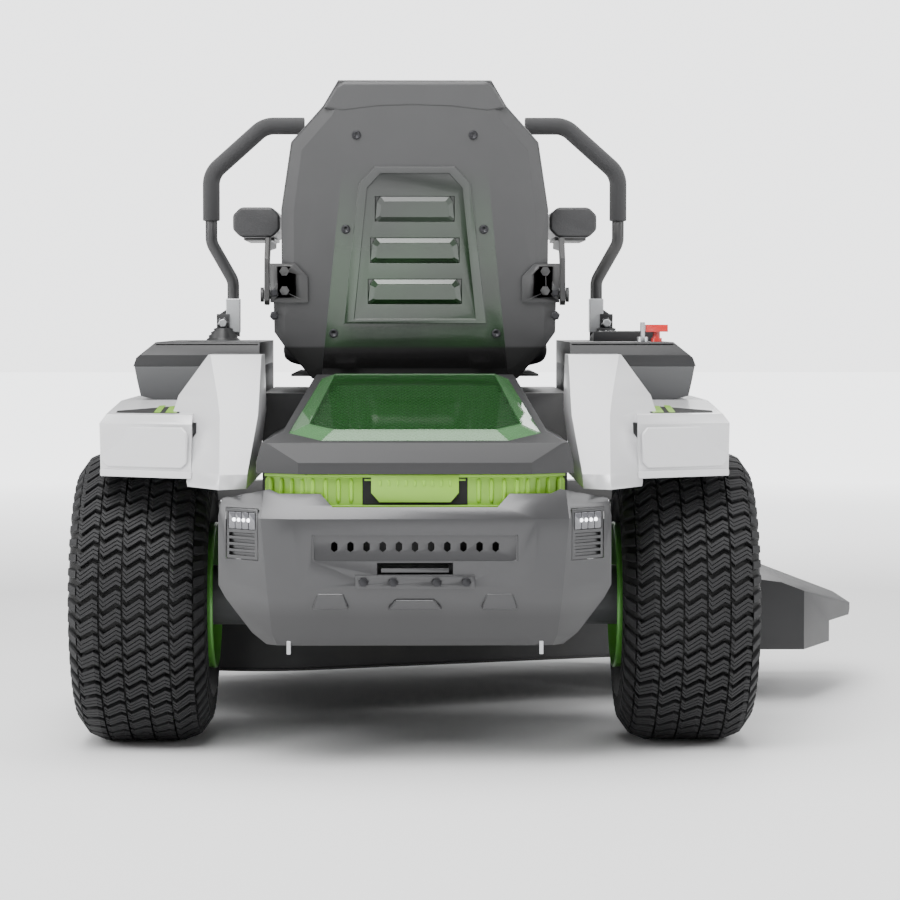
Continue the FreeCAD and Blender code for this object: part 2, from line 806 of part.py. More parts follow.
def make_hood_grille():
    """A sunken panel on a raised border that carries it from the underside of the hood."""
    form = hood_body(0, 0)
    panel = moved(form, 0, 0, -11).cut(moved(form, 0, 0, -15))
    panel = panel.common(prism_z(window_outline(6), 460, 620))
    border = moved(form, 0, 0, -4.6).cut(moved(form, 0, 0, -15))
    border = border.common(prism_z(window_outline(6), 460, 620).cut(prism_z(window_outline(1), 450, 630)))
    return joined([panel, border]).common(hood_body(hood_wall + 0.2, 0))


def make_hood_handle():
    rear = battery_rear - 1
    outline = [(-handle_half_width, handle_top), (-handle_half_width, handle_bottom + 14),
               (-handle_half_width + 12, handle_bottom), (handle_half_width - 12, handle_bottom),
               (handle_half_width, handle_bottom + 14), (handle_half_width, handle_top)]
    paddle = prism_y(outline, rear, rear + handle_depth)
    finger = block(-handle_half_width + 14, handle_half_width - 14, rear + 5, rear + handle_depth + 1,
                   handle_bottom - 1, handle_bottom + 16)
    pin = rod(handle_pin_radius, vec(-handle_half_width - 10, handle_pin_y, handle_pin_z),
              vec(handle_half_width + 10, handle_pin_y, handle_pin_z))
    return joined([paddle.cut(finger), pin])


# ---- seat ----
def leaned(y, z):
    """Where a point of the upright back lands once the back leans rearwards."""
    angle = math.radians(back_lean)
    dy = y - back_foot_y
    dz = z - back_foot_z
    return (back_foot_y + dy * math.cos(angle) - dz * math.sin(angle),
            back_foot_z + dy * math.sin(angle) + dz * math.cos(angle))


def lean(shape):
    copy = shape.copy()
    copy.rotate(vec(0, back_foot_y, back_foot_z), vec(1, 0, 0), back_lean)
    return copy


def back_outline(edge):
    """Outline of the seat back from the rear, drawn in by the edge."""
    foot = back_foot_z + 2
    top = back_foot_z + back_height
    right = [(170, foot), (214, foot + 52), (232, foot + 78), (233, foot + 140), (219, foot + 180),
             (219, foot + 280), (202, foot + 390), (150, foot + 448), (125, top)]
    outline = right + [(-x, z) for x, z in right[::-1]]
    return inset(outline, edge) if edge else outline


def make_backrest_shell():
    rear = back_foot_y - back_shell_depth
    shell = prism_y(back_outline(0), rear + 8, back_foot_y)
    rear_face = prism_y(back_outline(9), rear, rear + 8)
    hollow = prism_y(back_outline(26), back_foot_y - 16, back_foot_y + 1)
    raised = prism_y(mirrored_outline(back_emboss), rear - 5, rear + 1)
    sunk = prism_y(mirrored_outline(back_recess), rear - 6, rear - 2)
    shell = joined([shell.cut(hollow), rear_face, raised]).cut(sunk)
    for half, z in back_louvres:
        shell = shell.cut(block(-half, half, rear - 6, rear + 4, z, z + louvre_height))
    return lean(shell)


def make_backrest_cushion():
    cushion = prism_y(back_outline(12), back_foot_y + running_gap, back_foot_y + back_cushion_depth)
    top = back_foot_z + back_height
    roll = block(-118, 118, back_foot_y + 0.4, back_foot_y + back_cushion_depth, top - 52, top - 12)
    below = block(-300, 300, back_foot_y - 10, back_foot_y + 200, 500, back_foot_z + 66)
    return lean(joined([cushion, roll]).cut(below))


def make_seat_cushion():
    outline = [(-seat_half_width + 40, seat_front), (-seat_half_width, seat_front - 50),
               (-seat_half_width, seat_rear + 30), (-seat_half_width + 40, seat_rear),
               (seat_half_width - 40, seat_rear), (seat_half_width, seat_rear + 30),
               (seat_half_width, seat_front - 50), (seat_half_width - 40, seat_front)]
    foot = seat_bottom + 4.4
    low = prism_z(inset(outline, 8), foot, foot + 14)
    main = prism_z(outline, foot + 14, foot + cushion_thickness - 12)
    crown = prism_z(inset(outline, 14), foot + cushion_thickness - 12, foot + cushion_thickness)
    cushion = joined([low, main, crown])
    return cushion.cut(lean(block(-300, 300, back_foot_y - 120, back_foot_y + back_cushion_depth + 3,
                                  back_foot_z - 60, back_foot_z + 300)))


def make_seat_pan():
    pan = block(-206, 206, seat_rear - 24, seat_front - 14, seat_bottom, seat_bottom + 4)
    pieces = [pan]
    for side in (-1, 1):
        x = side * seat_rail_x
        pieces.append(block(x - 13, x + 13, 190, 440, seat_rail_top + running_gap, seat_bottom))
        pieces.append(block(x - 24, x + 24, seat_rear - 24, seat_rear - 20, seat_bottom,
                            seat_bottom + 40))
    back_y, back_z = leaned(back_foot_y, back_foot_z + 2)
    lip = block(-160, 160, back_y - back_shell_depth + 6, seat_rear - 20, seat_bottom - 5, seat_bottom)
    pieces.append(lip.cut(lean(block(-300, 300, back_foot_y - 60, back_foot_y, back_foot_z + 2,
                                     back_foot_z + 90))))
    return joined(pieces).cut(lean(prism_y(back_outline(0), back_foot_y - 60, back_foot_y + 0.2)))


def make_armrest_brackets():
    rear = back_foot_y - back_shell_depth
    z = arm_pivot_local_z
    pieces = []
    side_x = arm_x - arm_thickness / 2 - 1
    for side in (-1, 1):
        outline = [(176, z - 12), (side_x, z - 12), (side_x, z + 52), (196, z + 52), (176, z + 30)]
        plate = prism_y([(side * x, h) for x, h in outline], rear - 4, rear)
        for dz in (8, 40):
            plate = plate.cut(rod(bolt_radius, vec(side * 214, rear - 9, z + dz),
                                  vec(side * 214, rear + 9, z + dz)))
        x0, x1 = sorted((side * (side_x - 4), side * side_x))
        cheek = block(x0, x1, rear - 4, arm_pivot_local_y + 14, z - 12, z + 16)
        shell = prism_y(back_outline(0), rear - 1, back_foot_y + 1)
        pin = rod(7, vec(side * (side_x - 3), arm_pivot_local_y, z),
                  vec(side * (side_x + arm_thickness + 4), arm_pivot_local_y, z))
        head = rod(12, vec(side * (side_x + arm_thickness + 2), arm_pivot_local_y, z),
                   vec(side * (side_x + arm_thickness + 7), arm_pivot_local_y, z))
        bracket = joined([plate, cheek.cut(shell), pin.cut(shell), head])
        pieces.append(lean(bracket))
        for dz in (8, 40):
            pieces.append(lean(bolt_y(side * 214, rear - 9, z + dz, bolt_radius, 4, 8, 5)))
    return group(pieces)


def make_armrest_arm():
    y, z = leaned(arm_pivot_local_y, arm_pivot_local_z)
    outline = [(y - 17, z - 10), (y - 8, z - 17), (y + 10, z - 17), (y + 18, z - 6), (y + 22, z + 52),
               (y + 44, pad_bottom - 22), (pad_rear + pad_length - 40, pad_bottom - 14),
               (pad_rear + pad_length - 40, pad_bottom), (y + 20, pad_bottom), (y - 8, z + 60)]
    half = arm_thickness / 2 - running_gap
    plate = prism_x(outline, arm_x - half, arm_x + half)
    tray = block(arm_x - 10, pad_inner_x + pad_width - 16, pad_rear + 30, pad_rear + pad_length - 40,
                 pad_bottom - 4, pad_bottom)
    hole = rod(7 + running_gap, vec(arm_x - 20, y, z), vec(arm_x + 20, y, z))
    return joined([plate, tray]).cut(hole)


def make_armrest_pad():
    x0 = pad_inner_x
    x1 = pad_inner_x + pad_width
    z0 = pad_bottom
    z1 = pad_bottom + pad_height
    cut = 13.0
    outline = [(x0 + cut, z0), (x1 - cut, z0), (x1, z0 + cut), (x1, z1 - cut), (x1 - cut, z1),
               (x0 + cut, z1), (x0, z1 - cut), (x0, z0 + cut)]
    return prism_y(outline, pad_rear, pad_rear + pad_length)


# ---- fenders and consoles ----
def fender_form(edge):
    """Outer form of the right fender, or with an edge the form inside its wall."""
    drop = 14 if edge else 0
    box = [(436 - drop, [(340, -268), (486, -186), (486, 254), (340, 254)]),
           (518 - edge / 2, [(340, -252), (486, -200), (486, 254), (340, 254)]),
           (532 - edge, [(340, -246), (476, -196), (476, 254), (340, 254)]),
           (fender_top - edge, [(340, -30), (470, -30), (470, 254), (340, 254)])]
    tall = [(424 - drop, [(fender_inner_x + 2, -322), (292, -350), (346, -262), (346, 254),
                          (fender_inner_x + 2, 254)]),
            (446, [(fender_inner_x, -330), (292, -338), (350, -250), (350, 254),
                   (fender_inner_x, 254)])]
    wall_top = [(446, [(fender_inner_x, -330), (292, -338), (350, -250), (350, 0),
                       (fender_inner_x, 0)]),
                (531, [(240, -236), (298, -240), (374, -196), (374, 0), (240, 0)]),
                (560, [(240, -200), (304, -204), (366, -176), (366, 0), (240, 0)]),
                (622 - edge, [(242, -100), (322, -100), (326, -90), (326, 0), (242, 0)])]
    solids = []
    for levels in (box, tall, wall_top):
        if edge:
            levels = [(z, inset(outline, edge)) for z, outline in levels]
        solids.append(loft_z(levels))
    if edge:
        link = block(340 - edge - 2, 346 + edge, -240, 254 - edge, 424 - drop, 520)
        solids.append(link.common(loft_z([(z, inset(o, edge)) for z, o in
                                          [(400, [(300, -300), (400, -220), (400, 254), (300, 254)]),
                                           (532, [(300, -262), (400, -212), (400, 254),
                                                  (300, 254)])]])))
    return solids[0].multiFuse(solids[1:])


def make_fender():
    shell = fender_form(0).cut(fender_form(fender_wall))
    well = rod(tyre_radius + tyre_gap, vec(wheel_x - tyre_width / 2 - 12, 0, axle_z),
               vec(560, 0, axle_z))
    return shell.cut(well)


def console_profile(top, bottom):
    """Cross section of the right console between two heights."""
    inner = console_inner_x
    points = [(inner, bottom)]
    if bottom < console_split:
        points += [(419, bottom), (443, bottom + 6), (452, console_split)]
    else:
        points += [(454, bottom)]
    if top > console_split:
        points += [(449, console_split + 14), (419, top)]
    points.append((inner, top))
    return points


def make_console_box():
    wall = console_wall
    outer = prism_y(console_profile(console_split, console_floor), console_rear, console_front)
    rear_cut = prism_x([(console_rear - 1, console_floor - 1), (console_rear + 12, console_floor - 1),
                        (console_rear - 1, console_floor + 34)], 200, 500)
    outer = outer.cut(rear_cut)
    inner = prism_y(inset(console_profile(console_split, console_floor), wall),
                    console_rear + wall + 12, console_front - wall)
    lift = prism_y([(console_inner_x + wall, console_split - 12), (448, console_split - 12),
                    (448, console_split + 1), (console_inner_x + wall, console_split + 1)],
                   console_rear + wall + 12, console_front - wall)
    return outer.cut(inner).cut(lift)


def make_console_lid():
    wall = console_wall
    bottom = console_split + 0.01
    profile = console_profile(console_top, bottom)
    outer = prism_y(profile, console_rear, console_front)
    slope = prism_x([(console_rear - 1, console_top - 22), (console_rear + 18, console_top + 1),
                     (console_rear - 1, console_top + 1)], 200, 500)
    outer = outer.cut(slope)
    inner = prism_y(inset(profile, wall), console_rear + wall + 10, console_front - wall)
    lid = outer.cut(inner).cut(moved(inner, 0, 0, -wall - 2))
    slot = block(lever_x - lever_width / 2 - slot_gap, lever_x + lever_width / 2 + slot_gap,
                 lever_y - 40, lever_y + 36, console_split - 5, console_top + 1)
    return lid.cut(slot)


def make_console_lid_left():
    lid = mirrored(make_console_lid())
    top = vec(-cup_x, cup_y, console_top)
    floor = vec(-cup_x, cup_y, console_top - cup_depth)
    cup = rod(cup_radius + 3, floor, top - vec(0, 0, 1))
    lid = joined([lid, cup])
    return lid.cut(rod(cup_radius, floor + vec(0, 0, 3), top + vec(0, 0, 1)))


def make_console_lid_right():
    lid = make_console_lid()
    for x, y in ((switch_x, switch_y), (key_x, key_y)):
        lid = lid.cut(rod(9 + running_gap, vec(x, y, console_split), vec(x, y, console_top + 1)))
    return lid




def make_control_display():
    frame = prism_x([(180, console_top), (300, console_top), (300, console_top + 7),
                     (180, console_top + 16)], 300, 402)
    glass = prism_x([(190, console_top + 4), (290, console_top + 4), (290, console_top + 9),
                     (190, console_top + 16.5)], 309, 393)
    return joined([frame, glass])


def make_blade_switch():
    stem = rod(9, vec(switch_x, switch_y, console_split + 12), vec(switch_x, switch_y, console_top + 6))
    neck = rod(6, vec(switch_x, switch_y, console_top + 5), vec(switch_x, switch_y, console_top + 18))
    bar = block(switch_x - 18, switch_x + 18, switch_y - 12, switch_y + 12, console_top + 16,
                console_top + 28)
    return joined([stem, neck, bar])


def make_key_switch():
    barrel = rod(9, vec(key_x, key_y, console_split + 12), vec(key_x, key_y, console_top + 8))
    bow = block(key_x - 3, key_x + 3, key_y - 12, key_y + 12, console_top + 6, console_top + 32)
    return joined([barrel, bow])


# ---- levers and lap bars ----
def make_lever_bracket():
    half = lever_plate / 2
    outline = [(lever_x - 7, lever_pivot_z - 12), (lever_x + 7, lever_pivot_z - 12),
               (lever_x + 7, lever_pivot_z + 14), (lever_x + lever_width / 2, lever_pivot_z + 30),
               (lever_x + lever_width / 2, swing_z + 16), (lever_x - lever_width / 2, swing_z + 16),
               (lever_x - lever_width / 2, lever_pivot_z + 30), (lever_x - 7, lever_pivot_z + 14)]
    plate = prism_y(outline, lever_y - half, lever_y + half)
    boss = rod(10, vec(lever_x - 6, lever_y, lever_pivot_z), vec(lever_x + 6, lever_y, lever_pivot_z))
    plate = joined([plate, boss])
    plate = plate.cut(rod(swing_bolt_radius + running_gap, vec(lever_x - 20, lever_y, lever_pivot_z),
                          vec(lever_x + 20, lever_y, lever_pivot_z)))
    bolt = rod(swing_bolt_radius, vec(lever_x, lever_y - half - 3, swing_z),
               vec(lever_x, lever_y + half + 22, swing_z))
    head = rod(9, vec(lever_x, lever_y - half - 7, swing_z), vec(lever_x, lever_y - half, swing_z))
    nut = rod(9, vec(lever_x, lever_y + half + 15, swing_z), vec(lever_x, lever_y + half + 22, swing_z))
    return joined([plate, bolt, head, nut])


def bar_y():
    return lever_y + lever_plate / 2 + running_gap + 11


def make_lap_bar():
    y = bar_y()
    half = bar_base_width / 2
    base = prism_y([(bar_base_x - half, bar_base_bottom), (lever_x + 10, bar_base_bottom + 6),
                    (lever_x + 12, swing_z + 12), (bar_base_x + half, swing_z + 24),
                    (bar_base_x + half, bar_base_top), (bar_base_x - half, bar_base_top)],
                   y - 11, y + 3)
    base = base.cut(rod(swing_bolt_radius + running_gap, vec(lever_x, y - 20, swing_z),
                        vec(lever_x, y + 20, swing_z)))
    lower = [vec(bar_base_x, y, bar_base_bottom + 37), vec(bar_base_x, y, 745),
             vec(grip_x, y, 812), vec(grip_x, y, grip_bottom + 8)]
    tube = bent_tube(lower, bar_radius, 34)
    socket = block(bar_base_x - half, bar_base_x + half, y - 11, y + 12, bar_base_bottom + 42,
                   bar_base_top)
    return joined([base, socket, tube])


def make_lap_grip():
    y = bar_y()
    points = [vec(grip_x, y, grip_bottom), vec(grip_x, y, grip_top - 84),
              vec(grip_x - 94, y, grip_top), vec(grip_end_x, y, grip_top)]
    grip = bent_tube(points, grip_radius, 42)
    return grip.cut(rod(bar_radius + 0.01, vec(grip_x, y, grip_bottom - 5),
                        vec(grip_x, y, grip_bottom + 8)))


# ---- deck ----
def deck_plan(radius, z0, z1):
    """A band that wraps both blade circles, as a solid between two heights."""
    near = vec(-blade_x, blade_y - blade_stagger, z0)
    far = vec(blade_x, blade_y + blade_stagger, z0)
    along = (far - near).normalize()
    across = vec(-along.y, along.x, 0)
    edges = [Part.LineSegment(near + across * radius, far + across * radius).toShape(),
             Part.Arc(far + across * radius, far + along * radius, far - across * radius).toShape(),
             Part.LineSegment(far - across * radius, near - across * radius).toShape(),
             Part.Arc(near - across * radius, near - along * radius, near + across * radius).toShape()]
    return Part.Face(Part.Wire(edges)).extrude(vec(0, 0, z1 - z0))


def spindle_points():
    return ((-blade_x, blade_y - blade_stagger), (blade_x, blade_y + blade_stagger))


def gauge_points():
    """Centre of each gauge wheel, just outside the deck's front edge."""
    reach = deck_radius + gauge_radius + 12
    points = []
    for (x, y), angle in zip(spindle_points(), (115, 60)):
        turn = math.radians(angle)
        points.append((x + reach * math.cos(turn), y + reach * math.sin(turn)))
    return points


def make_deck_shell():
    outer = deck_plan(deck_radius + deck_wall, deck_bottom, deck_top)
    inner = deck_plan(deck_radius, deck_bottom - 1, deck_top - deck_wall)
    rim = deck_plan(deck_radius + deck_wall + 7, deck_bottom, deck_bottom + deck_wall)
    shell = joined([outer, rim]).cut(inner)
    mouth = block(chute_hinge_x - 120, chute_hinge_x + 60, chute_rear + 62, chute_front - 30,
                  deck_bottom - 1, deck_top - deck_wall - 12)
    shell = shell.cut(mouth)
    for x, y in spindle_points():
        shell = shell.cut(rod(spindle_radius + running_gap, vec(x, y, deck_top - 20),
                              vec(x, y, deck_top + 1)))
    pieces = [shell]
    hinge = vec(chute_hinge_x, 0, chute_hinge_z)
    shelf_x = chute_hinge_x - 46
    pieces.append(block(shelf_x, chute_hinge_x - 9, chute_rear + 40, chute_front - 20,
                        deck_top - deck_wall, deck_top))
    for y in chute_lugs():
        lug = block(shelf_x, chute_hinge_x + 5, y - 4, y + 4, deck_top - deck_wall, chute_hinge_z + 7)
        pieces.append(lug.cut(block(chute_hinge_x - 8, chute_hinge_x + 6, y - 5, y + 5,
                                    deck_top - 10, chute_hinge_z - 8)))
    first, last = chute_lugs()
    pieces.append(rod(4, vec(hinge.x, first - 10, hinge.z), vec(hinge.x, last + 10, hinge.z)))
    for x, y in gauge_points():
        plate_x = x - gauge_width / 2 - 5
        back = y - 95
        pieces.append(block(plate_x - 6, plate_x, back, y + 14, deck_bottom + 22, deck_bottom + 70))
        pieces.append(rod(7, vec(plate_x - 1, y, gauge_z()), vec(x + gauge_width / 2 + 8, y, gauge_z())))
    deck = joined(pieces)
    return deck.cut(deck_plan(deck_radius, deck_bottom - 1, deck_top - deck_wall))


def chute_lugs():
    return (chute_rear + chute_lug_inset, chute_front - chute_lug_inset + 10)


def gauge_z():
    return deck_bottom + 32


def make_gauge_wheel(x, y):
    half = gauge_width / 2
    profile = [(-half, 7 + running_gap), (-half, gauge_radius - 12), (-half + 10, gauge_radius - 2),
               (-half + 16, gauge_radius), (half - 16, gauge_radius), (half - 10, gauge_radius - 2),
               (half, gauge_radius - 12), (half, 7 + running_gap)]
    return spun_x(profile, x, y, gauge_z())


def make_blade_motors():
    motors = []
    for x, y in spindle_points():
        foot = rod(blade_motor_radius, vec(x, y, deck_top), vec(x, y, deck_top + 6))
        can = rod(blade_motor_radius - 8, vec(x, y, deck_top + 6), vec(x, y, deck_top + blade_motor_height - 6))
        lid = rod(blade_motor_radius - 16, vec(x, y, deck_top + 6), vec(x, y, deck_top + blade_motor_height))
        motors.append(joined([foot, can, lid]))
    return group(motors)


def make_deck_hangers():
    hangers = []
    for side in (-1, 1):
        for y in (lift_front_y, lift_rear_y):
            end_y = y - lift_arm_reach
            end_z = lift_shaft_z - lift_arm_drop
            reach = lift_pin_radius + running_gap
            x = side * (lift_arm_x + lift_plate + 3)
            plate = block(x - 3, x + 3, end_y - 22, end_y + 22, deck_top, end_z + reach + 2.5)
            foot = block(x - 14, x + 14, end_y - 22, end_y + 22, deck_top, deck_top + 4)
            slot = block(x - 5, x + 5, end_y - reach - 1, end_y + reach + 5, end_z - reach,
                         end_z + reach)
            hangers.append(joined([plate, foot]).cut(slot))
    return group(hangers)


def make_blade(x, y):
    z = deck_bottom + 22
    bar = block(x - blade_radius + 4, x + blade_radius - 4, y - blade_width / 2, y + blade_width / 2, z,
                z + blade_thickness)
    bar = bar.common(rod(blade_radius, vec(x, y, z - 1), vec(x, y, z + 20)))
    wings = []
    for side in (-1, 1):
        edge = blade_width / 2
        tip = [(side * (edge - 8), z), (side * edge, z), (side * (edge + 9), z + 20),
               (side * (edge + 5), z + 20), (side * (edge - 8), z + blade_thickness)]
        x0, x1 = sorted((side * (blade_radius - 90), side * (blade_radius - 14)))
        wings.append(moved(prism_x(tip, x0, x1), x, y, 0))
    bar = joined([bar] + wings)
    hub = rod(32, vec(x, y, z + blade_thickness), vec(x, y, z + 22))
    shaft = rod(spindle_radius, vec(x, y, z + 20), vec(x, y, deck_top - running_gap))
    bolt = rod(12, vec(x, y, z - 10), vec(x, y, z))
    return joined([bar, hub, shaft, bolt])


def chute_form(edge):
    x0 = chute_hinge_x + 7
    tip = chute_tip_x - edge
    profile = [(x0, chute_bottom - edge), (x0, chute_hinge_z + 10 - edge),
               (x0 + 22, chute_hinge_z + 16 - edge), (x0 + 80, chute_hinge_z + 8 - edge),
               (tip, chute_tip_z - edge), (tip, chute_tip_z - 12), (tip - 14, chute_bottom - edge)]
    side = prism_y(profile, chute_rear - 5, chute_front + 5)
    plan = [(x0 - 1, chute_rear), (x0 + 120, chute_rear), (chute_tip_x, chute_rear + 240),
            (chute_tip_x, chute_front), (x0 - 1, chute_front)]
    return side.common(prism_z(inset(plan, edge) if edge else plan, 60, 300))


def make_discharge_chute():
    inner = chute_form(chute_wall)
    x0 = chute_hinge_x + 7
    open_in = block(x0 - 1, x0 + chute_wall + 1, chute_rear + chute_wall, chute_front - chute_wall,
                    chute_bottom - 5, chute_hinge_z + 10 - chute_wall)
    open_out = block(x0 + 60, chute_tip_x + 5, chute_rear + 130, chute_front - 24, chute_bottom - 5,
                     chute_tip_z - 22)
    shell = chute_form(0).cut(inner).cut(moved(inner, 0, 0, -14)).cut(open_in).cut(open_out)
    first, last = chute_lugs()
    for y in (first, last):
        shell = shell.cut(block(x0 - 10, x0 + 15, y - 12, y + 12, chute_hinge_z - 16, chute_hinge_z + 20))
    barrel = rod(8, vec(chute_hinge_x, first + 8, chute_hinge_z),
                 vec(chute_hinge_x, last - 8, chute_hinge_z))
    web = block(chute_hinge_x, x0 + 4, first + 12, last - 12, chute_hinge_z - 2, chute_hinge_z + 6)
    chute = joined([shell, barrel, web])
    return chute.cut(rod(4 + running_gap, vec(chute_hinge_x, chute_rear, chute_hinge_z),
                         vec(chute_hinge_x, chute_front, chute_hinge_z)))


# ---- deck lift ----
def lift_arms(y):
    arms = []
    end_y = y - lift_arm_reach
    end_z = lift_shaft_z - lift_arm_drop
    for side in (-1, 1):
        x = side * lift_arm_x
        half = lift_plate / 2
        arm = prism_x([(y - 4, lift_shaft_z + 17), (y + 17, lift_shaft_z), (y - 4, lift_shaft_z - 17),
                       (end_y, end_z - 8), (end_y - 9, end_z), (end_y, end_z + 8)], x - half, x + half)
        pin = rod(lift_pin_radius, vec(x, end_y, end_z), vec(x + side * (lift_plate + 10), end_y, end_z))
        arms += [arm, pin]
    shaft = rod(lift_shaft_radius, vec(-rail_inner + 0.5, y, lift_shaft_z),
                vec(rail_inner - 0.5, y, lift_shaft_z))
    return [shaft] + arms


def make_lift_shaft_rear():
    return joined(lift_arms(lift_rear_y))


def make_lift_shaft_front():
    y = lift_front_y
    stem = prism_x([(y - 8, lift_shaft_z + 8), (y + 10, lift_shaft_z - 8),
                    (pedal_y + 6, pedal_z - 14), (pedal_y - 6, pedal_z - 2)], pedal_x - 4, pedal_x + 4)
    pad = prism_x([(pedal_y - 30, pedal_z + 6), (pedal_y + 26, pedal_z - 22),
                   (pedal_y + 30, pedal_z - 13), (pedal_y - 26, pedal_z + 15)], pedal_x - 38,
                  pedal_x + 38)
    return joined(lift_arms(y) + [stem, pad])


# ---- the whole machine ----
def make_nodes():
    gauges = gauge_points()
    spindles = spindle_points()
    nodes = {
        "main_frame": make_main_frame(),
        "floor_pan": make_floor_pan(),
        "foot_mat": make_foot_mat(),
        "seat_support": make_seat_support(),
        "seat_rails": make_seat_rails(),
        "pivot_brackets": make_pivot_brackets(),
        "drive_motors": make_drive_motors(),
        "rear_bumper": make_rear_bumper(),
        "lamp_housings": make_lamp_housings(),
        "lamp_lenses": make_lamp_lenses(),
        "hitch_bracket": make_hitch_bracket(),
        "chassis_bolts": make_chassis_bolts(),
        "battery_box": make_battery_box(),
        "battery_packs": make_battery_packs(),
        "hood_rim": make_hood_rim(),
        "hood_window": make_hood_window(),
        "hood_grille": make_hood_grille(),
        "hood_handle": make_hood_handle(),
        "seat_pan": make_seat_pan(),
        "seat_cushion": make_seat_cushion(),
        "backrest_shell": make_backrest_shell(),
        "backrest_cushion": make_backrest_cushion(),
        "armrest_brackets": make_armrest_brackets(),
        "console_lid_left": make_console_lid_left(),
        "console_lid_right": make_console_lid_right(),
        "control_display": make_control_display(),
        "blade_switch": make_blade_switch(),
        "key_switch": make_key_switch(),
        "deck_shell": make_deck_shell(),
        "deck_hangers": make_deck_hangers(),
        "blade_motors": make_blade_motors(),
        "blade_left": make_blade(*spindles[0]),
        "blade_right": make_blade(*spindles[1]),
        "gauge_wheel_left": make_gauge_wheel(*gauges[0]),
        "gauge_wheel_right": make_gauge_wheel(*gauges[1]),
        "discharge_chute": make_discharge_chute(),
        "lift_shaft_front": make_lift_shaft_front(),
        "lift_shaft_rear": make_lift_shaft_rear(),
    }
    pairs = {
        "rear_rim": make_rear_rim(),
        "rear_tyre": make_rear_tyre(),
        "caster_fork": make_caster_fork(),
        "caster_wheel": make_caster_wheel(),
        "fender": make_fender(),
        "console_box": make_console_box(),
        "armrest_arm": make_armrest_arm(),
        "armrest_pad": make_armrest_pad(),
        "lever_bracket": make_lever_bracket(),
        "lap_bar": make_lap_bar(),
        "lap_grip": make_lap_grip(),
    }
    for name, shape in pairs.items():
        nodes[name + "_right"] = shape
        nodes[name + "_left"] = mirrored(shape)
    return nodes


def origin_shift():
    """From under the rear axle to the bottom centre of the whole outline."""
    left = -wheel_x - tyre_width / 2
    rear = bumper_rear - 8
    front = nose_front + 5
    return vec(-(left + chute_tip_x) / 2, -(rear + front) / 2, 0)


def main():
    os.makedirs("parts", exist_ok=True)
    shift = origin_shift()
    print("origin shift", shift)
    for name, shape in make_nodes().items():
        moved(shape, shift.x, shift.y, shift.z).exportStep("parts/" + name + ".step")


main()
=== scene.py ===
"""Looks of a ride-on zero turn mower, built piece by piece around its fixed CAD frame."""

import json
import math

import bmesh
import bpy
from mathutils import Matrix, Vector
from mathutils.bvhtree import BVHTree
from mathutils.geometry import intersect_point_line

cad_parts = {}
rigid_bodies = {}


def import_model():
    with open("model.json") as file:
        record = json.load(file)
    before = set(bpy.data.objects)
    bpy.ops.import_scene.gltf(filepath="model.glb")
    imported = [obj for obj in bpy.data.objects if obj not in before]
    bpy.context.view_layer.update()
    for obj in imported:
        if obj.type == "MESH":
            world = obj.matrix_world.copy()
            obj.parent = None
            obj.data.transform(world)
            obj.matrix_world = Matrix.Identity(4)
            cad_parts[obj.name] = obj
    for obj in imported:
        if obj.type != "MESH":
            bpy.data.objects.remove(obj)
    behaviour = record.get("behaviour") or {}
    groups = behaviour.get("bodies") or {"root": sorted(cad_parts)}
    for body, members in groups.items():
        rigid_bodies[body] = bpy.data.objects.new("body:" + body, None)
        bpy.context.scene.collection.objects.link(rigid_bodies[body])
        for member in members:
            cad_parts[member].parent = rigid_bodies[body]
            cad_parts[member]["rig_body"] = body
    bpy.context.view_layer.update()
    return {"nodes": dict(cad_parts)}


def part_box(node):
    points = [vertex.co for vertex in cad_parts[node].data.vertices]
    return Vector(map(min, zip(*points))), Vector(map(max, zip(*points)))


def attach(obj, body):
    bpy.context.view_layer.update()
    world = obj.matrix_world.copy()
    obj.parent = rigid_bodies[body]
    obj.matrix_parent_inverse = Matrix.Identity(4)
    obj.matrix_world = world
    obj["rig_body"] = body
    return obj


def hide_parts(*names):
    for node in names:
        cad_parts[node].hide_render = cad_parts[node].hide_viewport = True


bl_info = {
    "name": "Zero Turn Mower Finish",
    "version": (1, 0, 0),
    "blender": (4, 5, 0),
    "location": "View3D > Sidebar > Mower",
    "description": "Builds the visible pieces, finishes and studio of a ride-on mower",
    "category": "Object",
}

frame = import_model()

# lengths in this file are millimetres, unless a name or a comment says metres
MM = 0.001
LEFT_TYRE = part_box("rear_tyre_left")
RIGHT_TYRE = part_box("rear_tyre_right")
MIDDLE_X = (LEFT_TYRE[0][0] + RIGHT_TYRE[1][0]) / 2
AXLE_Y = (RIGHT_TYRE[0][1] + RIGHT_TYRE[1][1]) / 2
SIDES = (("left", -1), ("right", 1))


def at(x, y, z):
    """A point in millimetres from the ground under the middle of the rear axle."""
    return Vector((MIDDLE_X + x * MM, AXLE_Y + y * MM, z * MM))


def in_mm(place):
    """The millimetres of a point, counted as in at()."""
    return (place - at(0, 0, 0)) / MM


def mirrored(outline):
    """The same points on the other side of the middle."""
    return [(-x, other) for x, other in outline]


def rectangle(x0, y0, x1, y1):
    """The four corners of an upright rectangle."""
    return [(x0, y0), (x1, y0), (x1, y1), (x0, y1)]


# ---- mesh helpers ----
def body_of(node):
    """The name of the body that a CAD node belongs to."""
    return frame["nodes"][node]["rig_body"]


def on_stage(name, mesh):
    """An object that shows a mesh in the scene."""
    piece = bpy.data.objects.new(name, mesh)
    bpy.context.scene.collection.objects.link(piece)
    return piece


def new_piece(name, verts, faces, coat, body, smooth=False, outwards=True):
    """A mesh piece from points in metres, riding on a body."""
    mesh = bpy.data.meshes.new(name)
    mesh.from_pydata([tuple(v) for v in verts], [], faces)
    mesh.validate()
    mesh.update()
    piece = on_stage(name, mesh)
    finish_piece(piece, coat, body, smooth)
    if outwards:
        face_outwards(piece)
    return piece


